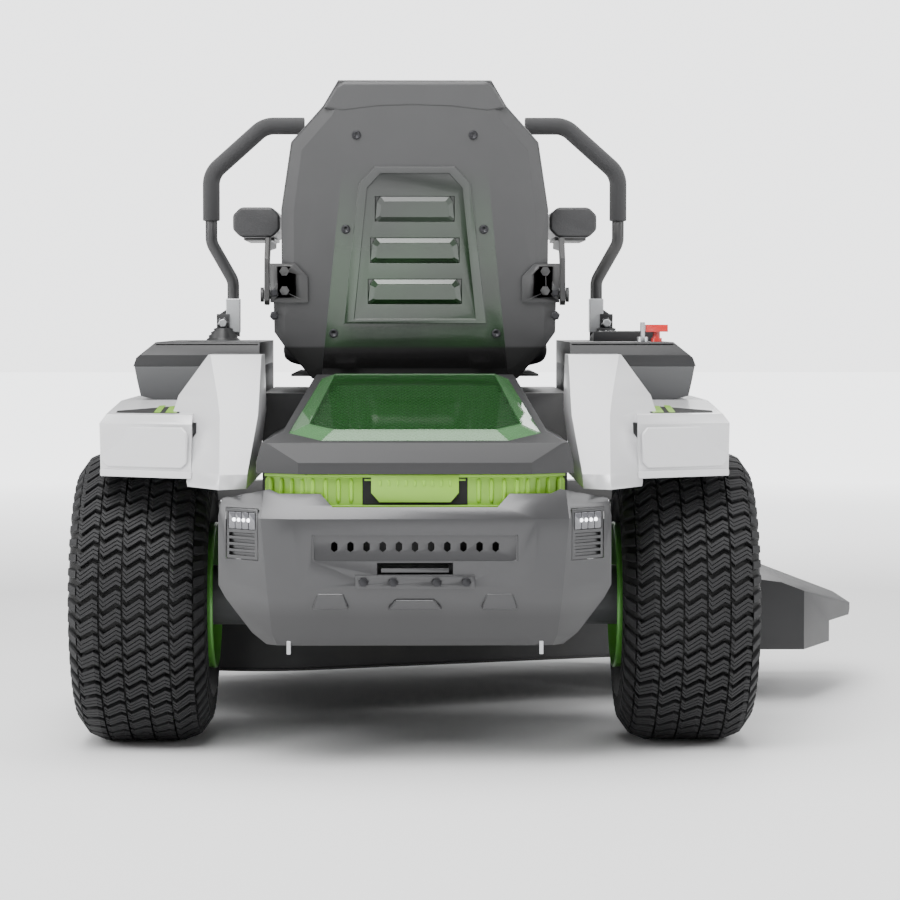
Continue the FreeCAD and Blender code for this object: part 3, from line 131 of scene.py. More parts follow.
def ring_faces(near, far, count):
    """The faces between two closed rings of points, given by each ring's first number."""
    return [(near + i, near + (i + 1) % count, far + (i + 1) % count, far + i)
            for i in range(count)]


def bar_faces(base, rows, columns):
    """The faces of a bar made of open rows of points, with a face on each end."""
    faces = []
    for row in range(rows - 1):
        for step in range(columns - 1):
            a = base + row * columns + step
            faces.append((a, a + 1, a + columns + 1, a + columns))
    last = base + (rows - 1) * columns
    faces.append(tuple(range(base + columns - 1, base - 1, -1)))
    faces.append(tuple(range(last, last + columns)))
    return faces


def finish_piece(piece, coat, body, smooth=True):
    """Give a piece its named finish and its body."""
    piece.data.materials.clear()
    piece.data.materials.append(finish(coat))
    piece.data.polygons.foreach_set("use_smooth", [smooth] * len(piece.data.polygons))
    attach(piece, body)


def face_outwards(piece):
    """Point every face of a piece outwards."""
    shape = bmesh.new()
    shape.from_mesh(piece.data)
    bmesh.ops.recalc_face_normals(shape, faces=shape.faces)
    shape.to_mesh(piece.data)
    shape.free()


def bevelled(piece, width, segments=3, angle=28.0):
    """Round a piece's edges and keep its flats flat."""
    bevel = piece.modifiers.new("rounding", "BEVEL")
    bevel.width = width * MM
    bevel.segments = segments
    bevel.limit_method = "ANGLE"
    bevel.angle_limit = math.radians(angle)
    bevel.use_clamp_overlap = True
    bevel.harden_normals = True
    return piece


def apply_modifiers(piece):
    """Replace a piece's mesh by what its modifiers make of it."""
    graph = bpy.context.evaluated_depsgraph_get()
    done = bpy.data.meshes.new_from_object(piece.evaluated_get(graph))
    piece.modifiers.clear()
    piece.data = done


def rounded(node, coat, width=1.5, segments=2, angle=28.0, change=None, merge=True):
    """A copy of a CAD node with softened edges that stands for it."""
    source = frame["nodes"][node].data
    shape = bmesh.new()
    shape.from_mesh(source)
    bmesh.ops.remove_doubles(shape, verts=shape.verts, dist=0.00002)
    if change:
        change(shape)
    if merge:
        bmesh.ops.dissolve_limit(shape, angle_limit=math.radians(1.5), verts=shape.verts,
                                 edges=shape.edges)
    mesh = bpy.data.meshes.new(node + "_finish")
    shape.to_mesh(mesh)
    shape.free()
    piece = on_stage(node + "_finish", mesh)
    finish_piece(piece, coat, body_of(node))
    bevelled(piece, width, segments, angle)
    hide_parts(node)
    return piece


def revolve(name, profile, centre, coat, body, steps=96, axis="X"):
    """A turned piece: profile of (along, radius) in millimetres about an axis through centre."""
    verts = []
    count = len(profile)
    for step in range(steps):
        turn = 2 * math.pi * step / steps
        for along, radius in profile:
            side = radius * math.cos(turn)
            rise = radius * math.sin(turn)
            offset = {"X": (along, side, rise), "Y": (rise, along, side),
                      "Z": (side, rise, along)}[axis]
            verts.append(centre + Vector(offset) * MM)
    faces = []
    for step in range(steps):
        near = step * count
        far = (step + 1) % steps * count
        for index in range(count - 1):
            faces.append((near + index, near + index + 1, far + index + 1, far + index))
    return new_piece(name, verts, faces, coat, body, smooth=True)


def slab(name, verts, coat, body):
    """A closed block between two like outlines, which are the two halves of the points."""
    count = len(verts) // 2
    faces = [tuple(range(count)), tuple(range(2 * count - 1, count - 1, -1))]
    return new_piece(name, verts, faces + ring_faces(0, count, count), coat, body)


def prism(name, outline, plane, low, high, coat, body, width=0.0, segments=2):
    """Extrude an outline in millimetres along the Y or Z axis and soften its edges."""
    places = [(a, depth, b) if plane == "Y" else (a, b, depth)
              for depth in (low, high) for a, b in outline]
    piece = slab(name, [at(*place) for place in places], coat, body)
    return bevelled(piece, width, segments) if width else piece


def cord(name, points, radius, coat, body):
    """A thin sewn cord through points in millimetres, its corners eased by up to 1 mm."""
    sides = 8
    path = [points[0]]
    for back, here, ahead in zip(points, points[1:], points[2:]):
        back = back - here
        ahead = ahead - here
        reach = min(1.0, back.length * 0.48, ahead.length * 0.48)
        first = here + back.normalized() * reach
        last = here + ahead.normalized() * reach
        for step in range(9):
            t = step / 8
            path.append(first * (1 - t) ** 2 + here * 2 * t * (1 - t) + last * t * t)
    path.append(points[-1])
    verts = []
    normal = (path[1] - path[0]).orthogonal().normalized()
    for index, here in enumerate(path):
        ahead = path[min(index + 1, len(path) - 1)] - path[max(index - 1, 0)]
        ahead.normalize()
        normal = (normal - ahead * normal.dot(ahead)).normalized()
        across = ahead.cross(normal)
        for side in range(sides):
            turn = 2 * math.pi * side / sides
            spot = here + (normal * math.cos(turn) + across * math.sin(turn)) * radius
            verts.append(at(*spot))
    faces = []
    for start in range(0, len(verts) - sides, sides):
        faces += ring_faces(start, start + sides, sides)
    faces.append(tuple(range(sides - 1, -1, -1)))
    faces.append(tuple(range(len(verts) - sides, len(verts))))
    return new_piece(name, verts, faces, coat, body, smooth=True)


def hexagon_head(name, centre, radius, height, axis, coat, body):
    """A bolt head: a chamfered hexagon on a thin washer, pointing along an axis such as -Y."""
    verts = []
    rings = [(1.25, 0.0), (1.25, 0.18), (0.98, 0.2), (0.98, 0.85), (0.84, 1.0)]
    for scale, rise in rings:
        for corner in range(6):
            turn = math.radians(60 * corner + 12)
            spot = [radius * scale * math.cos(turn), radius * scale * math.sin(turn)]
            spot.insert("XYZ".index(axis[-1]), rise * height * (-1 if axis[0] == "-" else 1))
            verts.append(centre + Vector(spot) * MM)
    faces = [(5, 4, 3, 2, 1, 0)]
    top = (len(rings) - 1) * 6
    for ring in range(0, top, 6):
        faces += ring_faces(ring, ring + 6, 6)
    faces.append(tuple(range(top, top + 6)))
    return bevelled(new_piece(name, verts, faces, coat, body), 0.4, 2)


def panel_on(name, start, end, low, high, corner, lift, width, coat, body):
    """A raised panel with cut corners on the upright face that runs from start to end in plan."""
    first = Vector((*start, 0))
    run = Vector((*end, 0)) - first
    along = run.normalized()
    out = Vector((along.y, -along.x, 0))
    if out.y > 0:
        out = -out
    length = run.length
    outline = [(corner, low), (length - corner, low), (length, low + corner),
               (length, high - corner), (length - corner, high), (corner, high),
               (0, high - corner), (0, low + corner)]
    verts = []
    for depth in (-3.0, lift):
        for reach, z in outline:
            spot = first + along * reach + out * depth
            verts.append(at(spot.x, spot.y, z))
    return bevelled(slab(name, verts, coat, body), *width)


# ---- shader maths ----
class Value:
    """A shader socket that joins in ordinary sums, each of which adds a Math node."""

    def __init__(self, tree, socket):
        self.tree = tree
        self.socket = socket

    def maths(self, operation, *others, flipped=False):
        node = self.tree.nodes.new("ShaderNodeMath")
        node.operation = operation
        terms = [self, *others]
        if flipped:
            terms.reverse()
        for slot, term in zip(node.inputs, terms):
            if isinstance(term, Value):
                self.tree.links.new(term.socket, slot)
            else:
                slot.default_value = term
        return Value(self.tree, node.outputs[0])

    def __add__(self, other):
        return self.maths("ADD", other)

    def __radd__(self, other):
        return self.maths("ADD", other, flipped=True)

    def __sub__(self, other):
        return self.maths("SUBTRACT", other)

    def __rsub__(self, other):
        return self.maths("SUBTRACT", other, flipped=True)

    def __mul__(self, other):
        return self.maths("MULTIPLY", other)

    def __rmul__(self, other):
        return self.maths("MULTIPLY", other, flipped=True)

    def __gt__(self, other):
        return self.maths("GREATER_THAN", other)

    def clamped(self):
        return self.maths("MINIMUM", 1.0).maths("MAXIMUM", 0.0)


class Paint:
    """One material being made: its node tree and its main shader."""

    def __init__(self, name, **constants):
        self.material = bpy.data.materials.new(name)
        self.material.use_nodes = True
        self.tree = self.material.node_tree
        self.shader = self.tree.nodes["Principled BSDF"]
        for socket, value in constants.items():
            self.shader.inputs[socket.replace("_", " ")].default_value = value

    def node(self, kind, settings=None, output=0, **sockets):
        """Any node: its type, its settings, and the values or links of its sockets."""
        node = self.tree.nodes.new(kind)
        for key, value in (settings or {}).items():
            if key == "stops":
                ramp = node.color_ramp.elements
                while len(ramp) < len(value):
                    ramp.new(0.5)
                for stop, (place, colour) in zip(ramp, value):
                    stop.position = place
                    stop.color = colour
            else:
                setattr(node, key, value)
        for key, value in sockets.items():
            slot = node.inputs[int(key[1:])] if key[1:].isdigit() else node.inputs[key]
            if isinstance(value, Value):
                self.tree.links.new(value.socket, slot)
            else:
                slot.default_value = value
        return Value(self.tree, node.outputs[output])

    def place(self):
        return self.node("ShaderNodeTexCoord", output="Object")

    def height(self):
        """Height above the floor in metres."""
        return self.node("ShaderNodeSeparateXYZ", output="Z", Vector=self.place())

    def noise(self, scale, detail=4.0, rough=0.55, vector=None):
        return self.node("ShaderNodeTexNoise", output="Fac", Vector=vector or self.place(),
                         Scale=scale, Detail=detail, Roughness=rough)

    def cells(self, scale, feature="F1", output="Distance", vector=None):
        return self.node("ShaderNodeTexVoronoi", {"feature": feature}, output,
                         Vector=vector or self.place(), Scale=scale)

    def steps(self, value, *stops):
        """A grey ramp of (place, brightness) stops."""
        shades = [(place, (shade, shade, shade, 1.0)) for place, shade in stops]
        return self.node("ShaderNodeValToRGB", {"stops": shades}, Fac=value)

    def mix(self, factor, first, second):
        return self.node("ShaderNodeMix", {"data_type": "RGBA"}, output=2, _0=factor, _6=first,
                         _7=second)

    def vary(self, factor, colour, dark, light):
        """A colour that goes between a darker and a lighter shade of itself."""
        return self.mix(factor, shade(colour, dark), shade(colour, light))

    def bump(self, height, strength=0.3, distance=0.0004, normal=None):
        more = {"Normal": normal} if normal else {}
        return self.node("ShaderNodeBump", Height=height, Strength=strength, Distance=distance,
                         **more)

    def edges(self, low=0.51, high=0.58):
        """White along outer edges, from how sharply the surface turns."""
        point = self.node("ShaderNodeNewGeometry", output="Pointiness")
        return self.steps(point, (low, 0.0), (high, 1.0))

    def feed(self, **links):
        for socket, value in links.items():
            self.tree.links.new(value.socket, self.shader.inputs[socket.replace("_", " ")])
        return self.material


def shade(colour, factor):
    """A colour made lighter or darker."""
    return tuple(min(1.0, channel * factor) for channel in colour[:3]) + (1.0,)


# ---- finishes ----
BAND_FOOT = 395.5


def metallic_paint(name, colour, metallic, rough, flake=1.0, foot=0.0):
    """Fine metallic paint: flakes, slight orange peel, rubbed edges and maybe painted shade at the foot.
    """
    paint = Paint(name, Metallic=metallic, Coat_Weight=0.35, Coat_Roughness=0.18)
    flakes = paint.cells(2600.0, output="Color")
    grey = paint.node("ShaderNodeSeparateColor", output="Red", Color=flakes)
    cloud = paint.noise(9.0)
    wear = paint.edges() * (paint.noise(60.0) * 0.6)
    tone = paint.vary(grey * (0.10 * flake) + cloud * 0.10, colour, 0.93, 1.16)
    tone = paint.mix(wear * 0.35, tone, shade(colour, 1.5))
    # painted shade: below 262 mm the colour runs towards near black, standing for the shaded floor that
    # low downward faces would reflect
    if foot:
        low = ((0.262 - paint.height()) * 40.0).clamped()
        tone = paint.mix(low * foot, tone, (0.02, 0.02, 0.02, 1.0))
    peel = paint.bump(paint.noise(900.0, 2.0), 0.10, 0.0002)
    return paint.feed(Base_Color=tone, Roughness=rough + cloud * 0.08 - grey * 0.04, Normal=peel)


def battery_finish(name, colour):
    """Green plastic for the band round the top and plain black for the box below it."""
    paint = Paint(name, Coat_Weight=0.25, Coat_Roughness=0.25)
    pits = paint.noise(1900.0, 3.0)
    cloud = paint.noise(12.0)
    tone = paint.vary(cloud, colour, 0.9, 1.1)
    tone = paint.mix(paint.height() > BAND_FOOT * MM, (0.008, 0.008, 0.008, 1.0), tone)
    return paint.feed(Base_Color=tone, Roughness=0.34 + pits * 0.1,
                      Normal=paint.bump(pits, 0.12, 0.0003))


def moulded_plastic(name, colour, rough=0.5, grain=1500.0, depth=0.22, coat=0.0):
    """Moulded plastic with a fine spark-eroded grain and slightly polished edges."""
    paint = Paint(name, Coat_Weight=coat, Coat_Roughness=0.25)
    pits = paint.noise(grain, 3.0, 0.6)
    cloud = paint.noise(12.0)
    tone = paint.vary(cloud, colour, 0.90, 1.12)
    tone = paint.mix(paint.edges(0.52, 0.62) * 0.45, tone, shade(colour, 1.7))
    return paint.feed(Base_Color=tone, Roughness=rough + pits * 0.10 + cloud * 0.06 - 0.06,
                      Normal=paint.bump(pits, depth, 0.0003))


def powder_coat(name, colour, rough=0.42):
    """Satin powder coat with fine texture, dust in the hollows and rubbed corners."""
    paint = Paint(name, Metallic=0.0, Coat_Weight=0.12, Coat_Roughness=0.3)
    grain = paint.noise(1100.0, 2.0, 0.5)
    dust = paint.steps(paint.noise(7.0, 6.0, 0.62), (0.48, 0.0), (0.78, 1.0))
    tone = paint.mix(dust * 0.14, shade(colour, 1.0), (0.16, 0.15, 0.13, 1.0))
    tone = paint.mix(paint.edges(0.53, 0.66) * 0.35, tone, (0.20, 0.20, 0.20, 1.0))
    return paint.feed(Base_Color=tone, Roughness=rough + dust * 0.12 + grain * 0.08,
                      Normal=paint.bump(grain, 0.18, 0.0003))


def worked_steel(name, colour, rough=0.3, metallic=0.95):
    """Plated or brushed steel with long fine scratches."""
    paint = Paint(name, Metallic=metallic)
    stretched = paint.node("ShaderNodeMapping", Vector=paint.place(), Scale=(30.0, 900.0, 900.0))
    lines = paint.noise(1.0, 5.0, 0.7, stretched)
    cloud = paint.noise(22.0)
    tone = paint.vary(cloud * 0.6 + lines * 0.3, colour, 0.78, 1.12)
    return paint.feed(Base_Color=tone, Roughness=rough + lines * 0.22 - 0.08 + cloud * 0.06,
                      Normal=paint.bump(lines, 0.10, 0.0002))


def grained_vinyl(name, colour):
    """Black seat vinyl: pebbled grain, finer creases and a soft sheen."""
    paint = Paint(name, Sheen_Weight=0.25, Sheen_Roughness=0.4, Coat_Weight=0.05)
    warp = paint.noise(160.0, 2.0)
    pebbles = paint.cells(520.0, "SMOOTH_F1")
    folds = paint.noise(34.0, 5.0, 0.6)
    tone = paint.vary(pebbles * 0.6 + folds * 0.5, colour, 0.75, 1.7)
    height = pebbles * 0.9 + warp * 0.2
    fine = paint.bump(height, 0.42, 0.0005)
    crease = paint.bump(folds, 0.22, 0.002, fine)
    return paint.feed(Base_Color=tone, Roughness=0.40 + folds * 0.22 - pebbles * 0.10,
                      Normal=crease)


def soft_foam(name, colour):
    """Closed-cell foam with pores and a dull skin."""
    paint = Paint(name, Sheen_Weight=0.12, Sheen_Roughness=0.6)
    pores = paint.cells(900.0)
    coarse = paint.noise(90.0, 4.0)
    tone = paint.vary(coarse, colour, 0.8, 1.5)
    return paint.feed(Base_Color=tone, Roughness=0.72 + coarse * 0.18,
                      Normal=paint.bump(pores + coarse * 0.4, 0.35, 0.0005))


def tyre_rubber(name, colour):
    """Tyre rubber: matt black with pale dust low on the blocks and fine moulding texture."""
    paint = Paint(name, Specular_IOR_Level=0.4)
    cloud = paint.noise(14.0, 6.0, 0.6)
    fine = paint.noise(700.0, 3.0)
    dust = paint.steps(paint.noise(38.0, 6.0, 0.7), (0.50, 0.0), (0.80, 1.0))
    tone = paint.vary(cloud * 0.8, colour, 0.8, 1.35)
    tone = paint.mix(dust * 0.10, tone, (0.050, 0.047, 0.042, 1.0))
    return paint.feed(Base_Color=tone, Roughness=0.56 + cloud * 0.16 + dust * 0.14,
                      Normal=paint.bump(fine + cloud * 0.5, 0.25, 0.0004))


def clear_plastic(name, colour, alpha, rough=0.06, glow=0.0):
    """Tinted clear moulding with a slightly uneven surface."""
    paint = Paint(name, Alpha=alpha, Coat_Weight=0.6, Coat_Roughness=0.05,
                  Specular_IOR_Level=0.6)
    paint.shader.inputs["Emission Strength"].default_value = glow
    paint.shader.inputs["Emission Color"].default_value = shade(colour, 1.0)
    cloud = paint.noise(18.0, 3.0)
    scuffs = paint.steps(paint.noise(240.0, 5.0, 0.7), (0.55, 0.0), (0.8, 1.0))
    tone = paint.vary(cloud, colour, 0.85, 1.15)
    return paint.feed(Base_Color=tone, Roughness=rough + scuffs * 0.12,
                      Normal=paint.bump(cloud, 0.06, 0.001))


def ribbed_mat(name, colour):
    """Rubber floor mat with fine ribs across it."""
    paint = Paint(name)
    ribs = paint.node("ShaderNodeTexWave", {"bands_direction": "Y"}, output="Fac",
                      Vector=paint.place(), Scale=55.0, Distortion=0.0)
    dust = paint.noise(9.0, 6.0, 0.65)
    tone = paint.mix(dust * 0.6, shade(colour, 0.9), (0.10, 0.095, 0.085, 1.0))
    return paint.feed(Base_Color=tone, Roughness=0.62 + dust * 0.2,
                      Normal=paint.bump(ribs, 0.6, 0.0015))


def seat_back_finish(name, colour, glow):
    """The moulded back: grey grain above, running into gloss green below and black at the foot."""
    paint = Paint(name, Coat_Roughness=0.12)
    split = paint.node("ShaderNodeSeparateXYZ", output="Y", Vector=paint.place())
    x = Value(paint.tree, split.socket.node.outputs["X"])
    z = Value(paint.tree, split.socket.node.outputs["Z"])
    offset = (x - MIDDLE_X).maths("ABSOLUTE")
    # the green panel is 150 mm to each side of the middle at its foot and narrows upwards
    edge = (0.150 - (z - 0.630) * 0.105 - offset) * 900.0
    inside = edge.clamped()
    fade = ((0.930 - z) * 6.5).clamped()
    foot = ((0.634 - z) * 260.0).clamped()
    sheen = paint.steps(paint.noise(5.0, 2.0), (0.35, 0.0), (0.62, 1.0))
    pits = paint.noise(1300.0, 3.0, 0.6)
    grey = paint.vary(paint.noise(12.0), colour, 0.9, 1.12)
    grey = paint.mix(paint.edges(0.52, 0.62) * 0.5, grey, shade(colour, 1.9))
    green = paint.vary(sheen, glow, 0.35, 1.3)
    mask = inside * fade
    tone = paint.mix(mask, grey, green)
    tone = paint.mix(foot, tone, (0.006, 0.006, 0.006, 1.0))
    paint.tree.links.new((mask * 0.8).socket, paint.shader.inputs["Coat Weight"])
    return paint.feed(Base_Color=tone, Roughness=0.50 - mask * 0.30 + pits * 0.08,
                      Normal=paint.bump(pits, 0.22, 0.0003))


FINISHES = {}


def make_finishes(look):
    """Every finish of the mower, made once from the sizes and colours in the sidebar."""
    FINISHES.update({
        # the bumper's foot gets painted shade through foot=0.45
        "bumper": metallic_paint("bumper_grey_paint", look.bumper_colour, 0.6, 0.33, foot=0.45),
        "fender": metallic_paint("fender_silver_paint", look.fender_colour, 0.22, 0.30, 0.6),
        "hood": moulded_plastic("hood_grained_plastic", look.hood_colour, 0.46, 1700.0, 0.2),
        "hollow": moulded_plastic("grille_hollow", (0.003, 0.003, 0.003), 0.8),
        "green": moulded_plastic("green_satin_plastic", look.accent_colour, 0.34, 1900.0, 0.10, 0.3),
        "battery": battery_finish("battery_box_plastic", look.accent_colour),
        # painted highlight: the lid's sloping facets are its clear green made lighter, standing for the
        # bright reflections along the lid's edges
        "facet": clear_plastic("lid_facet_painted_highlight", (0.07, 0.20, 0.07), 0.60, 0.05),
        "sheet": moulded_plastic("grille_sheet_plastic", (0.020, 0.075, 0.022), 0.3),
        "console_top": moulded_plastic("console_black_plastic", (0.014, 0.014, 0.015), 0.42),
        "console_box": moulded_plastic("console_grey_plastic", look.console_colour, 0.55),
        "shell": seat_back_finish("seat_shell_plastic", look.shell_colour, look.glow_colour),
        "roll": moulded_plastic("seat_roll_plastic", look.shell_colour, 0.42, 1500.0, 0.25),
        "bolt": worked_steel("dark_bolt_steel", (0.045, 0.045, 0.048), 0.3),
        "vinyl": grained_vinyl("seat_vinyl", (0.017, 0.017, 0.018)),
        "foam": soft_foam("grip_foam", (0.018, 0.018, 0.019)),
        "frame": powder_coat("frame_black_coat", (0.018, 0.018, 0.019)),
        "deck": powder_coat("deck_black_coat", (0.022, 0.022, 0.023), 0.48),
        "steel": worked_steel("plated_steel", (0.55, 0.56, 0.57)),
        "blade": worked_steel("blade_steel", (0.26, 0.26, 0.27), 0.38),
        "silver": metallic_paint("silver_paint", (0.50, 0.51, 0.52), 0.6, 0.34),
        "cast": powder_coat("cast_motor_coat", (0.055, 0.057, 0.060), 0.5),
        "tyre": tyre_rubber("tyre_rubber", (0.011, 0.011, 0.012)),
        # painted shade: the groove rubber is the tyre rubber made darker, standing for the shade between
        # the tread blocks
        "groove": tyre_rubber("tyre_groove_painted_shade", (0.0035, 0.0035, 0.0035)),
        "rim": metallic_paint("rim_green_paint", look.rim_colour, 0.25, 0.28, 0.8),
        "lid": clear_plastic("lid_clear_green", look.lid_colour, look.lid_depth),
        "led": clear_plastic("lamp_white_light", (0.95, 0.96, 1.0), 1.0, 0.08, 4.0),
        "lens": clear_plastic("lamp_smoked_lens", (0.10, 0.10, 0.11), 1.0, 0.05),
        "red": moulded_plastic("switch_red_gloss", (0.62, 0.015, 0.012), 0.26, 900.0, 0.06, 0.5),
        "screen": moulded_plastic("screen_glass", (0.010, 0.012, 0.014), 0.10, 300.0, 0.02, 0.8),
        "pack": moulded_plastic("pack_dark_plastic", (0.03, 0.031, 0.033), 0.5),
        "mat": ribbed_mat("floor_mat_rubber", (0.022, 0.022, 0.022)),
        "seam": moulded_plastic("seam_thread", (0.05, 0.05, 0.052), 0.7, 2500.0, 0.4),
    })


# ---- settings shown in the sidebar ----
def colour_setting(name, text, value):
    return bpy.props.FloatVectorProperty(name=name, description=text, default=value,
                                         subtype="COLOR", size=3, min=0.0, max=1.0)


def length_setting(name, text, millimetres):
    return bpy.props.FloatProperty(name=name, description=text, default=millimetres * MM,
                                   unit="LENGTH", subtype="DISTANCE", precision=4)


def angle_setting(name, text, degrees):
    return bpy.props.FloatProperty(name=name, description=text, default=math.radians(degrees),
                                   unit="ROTATION", subtype="ANGLE")


def number_setting(name, text, value, unit="NONE"):
    return bpy.props.FloatProperty(name=name, description=text, default=value, unit=unit)


def count_setting(name, text, value):
    return bpy.props.IntProperty(name=name, description=text, default=value, min=1)


class LookSettings(bpy.types.PropertyGroup):
    bumper_colour: colour_setting("Bumper", "Metallic grey of the bumper", (0.060, 0.060, 0.062))
    fender_colour: colour_setting("Fenders", "Light silver of the fenders", (0.62, 0.62, 0.63))
    hood_colour: colour_setting("Hood", "Grey of the hood's frame", (0.020, 0.020, 0.021))
    accent_colour: colour_setting("Accent", "Light green of the trim", (0.20, 0.42, 0.02))
    console_colour: colour_setting("Console", "Grey of the side consoles", (0.060, 0.061, 0.063))
    shell_colour: colour_setting("Seat shell", "Grey of the seat's back", (0.046, 0.046, 0.047))
    rim_colour: colour_setting("Wheels", "Green of the wheel rims", (0.075, 0.26, 0.035))
    lid_colour: colour_setting("Lid", "Tint of the clear lid", (0.008, 0.060, 0.008))
    lid_depth: bpy.props.FloatProperty(name="Lid depth", description="How much the lid covers",
                                       default=0.36, min=0.0, max=1.0, subtype="FACTOR")
    glow_colour: colour_setting("Seat gloss", "Deep green low on the seat's back",
                                (0.006, 0.024, 0.006))


class TyreSettings(bpy.types.PropertyGroup):
    blocks: count_setting("Blocks", "Tread blocks around a rear tyre", 52)
    columns: count_setting("Columns", "Columns of blocks across a rear tyre", 5)
    column_width: length_setting("Column width", "Width of one column of blocks", 36.0)
    groove: length_setting("Groove depth", "Depth of the tread", 9.0)
    fill: number_setting("Block fill", "Part of the pitch that a block takes", 0.70)
    sipe: length_setting("Sipe", "Gap between the strips of a block", 0.9)
    zigzag: length_setting("Zigzag", "Sideways swing of a block", 6.6)


class HoodSettings(bpy.types.PropertyGroup):
    rib_pitch: length_setting("Rib pitch", "Distance between the band's ribs", 19.0)
    rib_width: length_setting("Rib width", "Width of one rib", 7.0)
    hole_pitch: length_setting("Hole pitch", "Distance between the grille's holes", 9.0)
    hole_size: length_setting("Hole size", "Diameter of the grille's holes", 6.0)
    shell: length_setting("Shell", "Thickness of the lid", 3.0)


class SeatSettings(bpy.types.PropertyGroup):
    voxel: length_setting("Mesh size", "Grid of the cushions' cloth", 9.0)
    pressure: number_setting("Fill", "Air pressure inside a cushion", 2.2)
    shrink: number_setting("Cover ease", "How much smaller the cover is sewn", -0.02)
    seam: length_setting("Seam", "Radius of the sewn cord", 1.6)


class StageSettings(bpy.types.PropertyGroup):
    distance: length_setting("Distance", "Camera distance behind the axle", 4500.0)
    height: length_setting("Height", "Camera height above the floor", 680.0)
    lens: number_setting("Lens", "Focal length", 111.6, "CAMERA")
    tilt: angle_setting("Tilt", "How far the camera looks down", 2.71)
    pan: angle_setting("Pan", "How far the camera looks to the right", 0.72)
    key_power: number_setting("Key light", "Power of the big lamp overhead", 210.0, "POWER")
    fill_power: number_setting("Fill light", "Power of the side lamps", 70.0, "POWER")
    backdrop: number_setting("Backdrop", "Brightness of the background to the camera", 3.0)
    ambient: number_setting("Ambient", "Brightness of the surroundings", 0.55)


def finish(name):
    """A finish by name; the first call makes them all."""
    if not FINISHES:
        make_finishes(bpy.context.scene.mower_look)
    return FINISHES[name]


# ---- rear wheels ----
TYRE_RADIUS = 233
WHEEL_X = 432


def crown(x):
    """Radius of the rear tyre's outer surface at a distance from its middle plane."""
    points = ((0, TYRE_RADIUS), (64, TYRE_RADIUS), (88, 223), (105, 199), (108, 161))
    x = abs(x)
    for (x0, r0), (x1, r1) in zip(points, points[1:]):
        if x <= x1:
            return r0 + (r1 - r0) * (x - x0) / (x1 - x0)
    return points[-1][1]


def tread_spot(centre, x, around, radius):
    """A point on a rear tyre: around is an angle that starts at the rear and goes up."""
    return centre + Vector((x, -radius * math.cos(around), radius * math.sin(around))) * MM


def block_strip(centre, left, width, around, low, high, swing, depth, verts, faces):
    """One zigzag strip of a tread block, its top edges broken."""
    line = ((0.04, 0.0), (0.2, -swing), (0.75, swing), (0.96, swing * 0.36))
    base = len(verts)
    soft = 0.7
    for share, offset in line:
        x = left + share * width
        outer = crown(x)
        for edge, drop in ((low - 0.8, depth), (low, soft), (low + soft, 0.0),
                           (high - soft, 0.0), (high, soft), (high + 0.8, depth)):
            angle = around + (offset + edge) / TYRE_RADIUS
            verts.append(tread_spot(centre, x, angle, outer - drop))
    faces.extend(bar_faces(base, len(line), 6))


def shoulder_lug(centre, side, around, verts, faces):
    """One lug that wraps over a tyre's shoulder."""
    run = ((91, 5.5, 0), (98, 6.5, 3), (105, 6.5, 8), (106.6, 5.5, 14), (107.6, 4.0, 20))
    base = len(verts)
    for x, half, lead in run:
        outer = crown(x) if x < 106 else crown(x) - 0.5
        for edge, drop in ((-half - 1.5, 6.0), (-half, 0.8), (-half + 0.8, 0.0),
                           (half - 0.8, 0.0), (half, 0.8), (half + 1.5, 6.0)):
            angle = around + (edge + lead) / 215
            inner = x - drop * (x - 84) / 24
            verts.append(tread_spot(centre, side * inner, angle, outer - drop * 0.7))
    faces.extend(bar_faces(base, len(run), 6))


class MOWER_OT_rear_tyres(bpy.types.Operator):
    """Build both rear tyres: carcass, zigzag tread blocks and shoulder lugs"""
    bl_idname = "mower.rear_tyres"
    bl_label = "Rear Tyres"

    def execute(self, context):
        size = context.scene.mower_tyre
        depth = size.groove / MM
        column_width = size.column_width / MM
        sipe = size.sipe / MM
        half = [(0, TYRE_RADIUS), (64, TYRE_RADIUS), (86, 224), (101, 204), (105.5, 180),
                (106.5, 165), (107.6, 163), (107.6, 159), (106, 157), (104.5, 140), (101, 128), (95, 117),
                (90, 113), (86, 107), (84, 101)]
        ring = [(x, r - depth * (1.0 if r > 200 else 0.0)) for x, r in half]
        profile = mirrored(ring[:0:-1]) + ring
        for name, side in SIDES:
            centre = at(side * WHEEL_X, 0, TYRE_RADIUS)
            body = "wheel_" + name
            carcass = revolve("tyre_carcass_" + name, profile, centre, "tyre", body,
                              144)
            # the carcass faces between the tread blocks get the darker groove rubber as painted shade
            carcass.data.materials.append(finish("groove"))
            for face in carcass.data.polygons:
                offset = (face.center - centre) / MM
                if abs(offset.x) < 98 and math.hypot(offset.y, offset.z) > 195:
                    face.material_index = 1
            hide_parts("rear_tyre_" + name)
            verts = []
            faces = []
            pitch = 2 * math.pi / size.blocks
            thick = pitch * TYRE_RADIUS * size.fill
            strip = (thick - 2 * sipe) / 3
            for column in range(size.columns):
                left = (column - size.columns / 2) * column_width
                for block in range(size.blocks):
                    around = (block + 0.5 * (column % 2)) * pitch
                    for part in range(3):
                        low = -thick / 2 + part * (strip + sipe)
                        block_strip(centre, left, column_width, around, low, low + strip,
                                    size.zigzag / MM, depth + 1.0, verts, faces)
            for edge in (-1, 1):
                for block in range(size.blocks):
                    around = (block + (0.5 if edge > 0 else 0.0)) * pitch
                    shoulder_lug(centre, edge, around, verts, faces)
            new_piece("tyre_tread_" + name, verts, faces, "tyre", body)
        return {"FINISHED"}


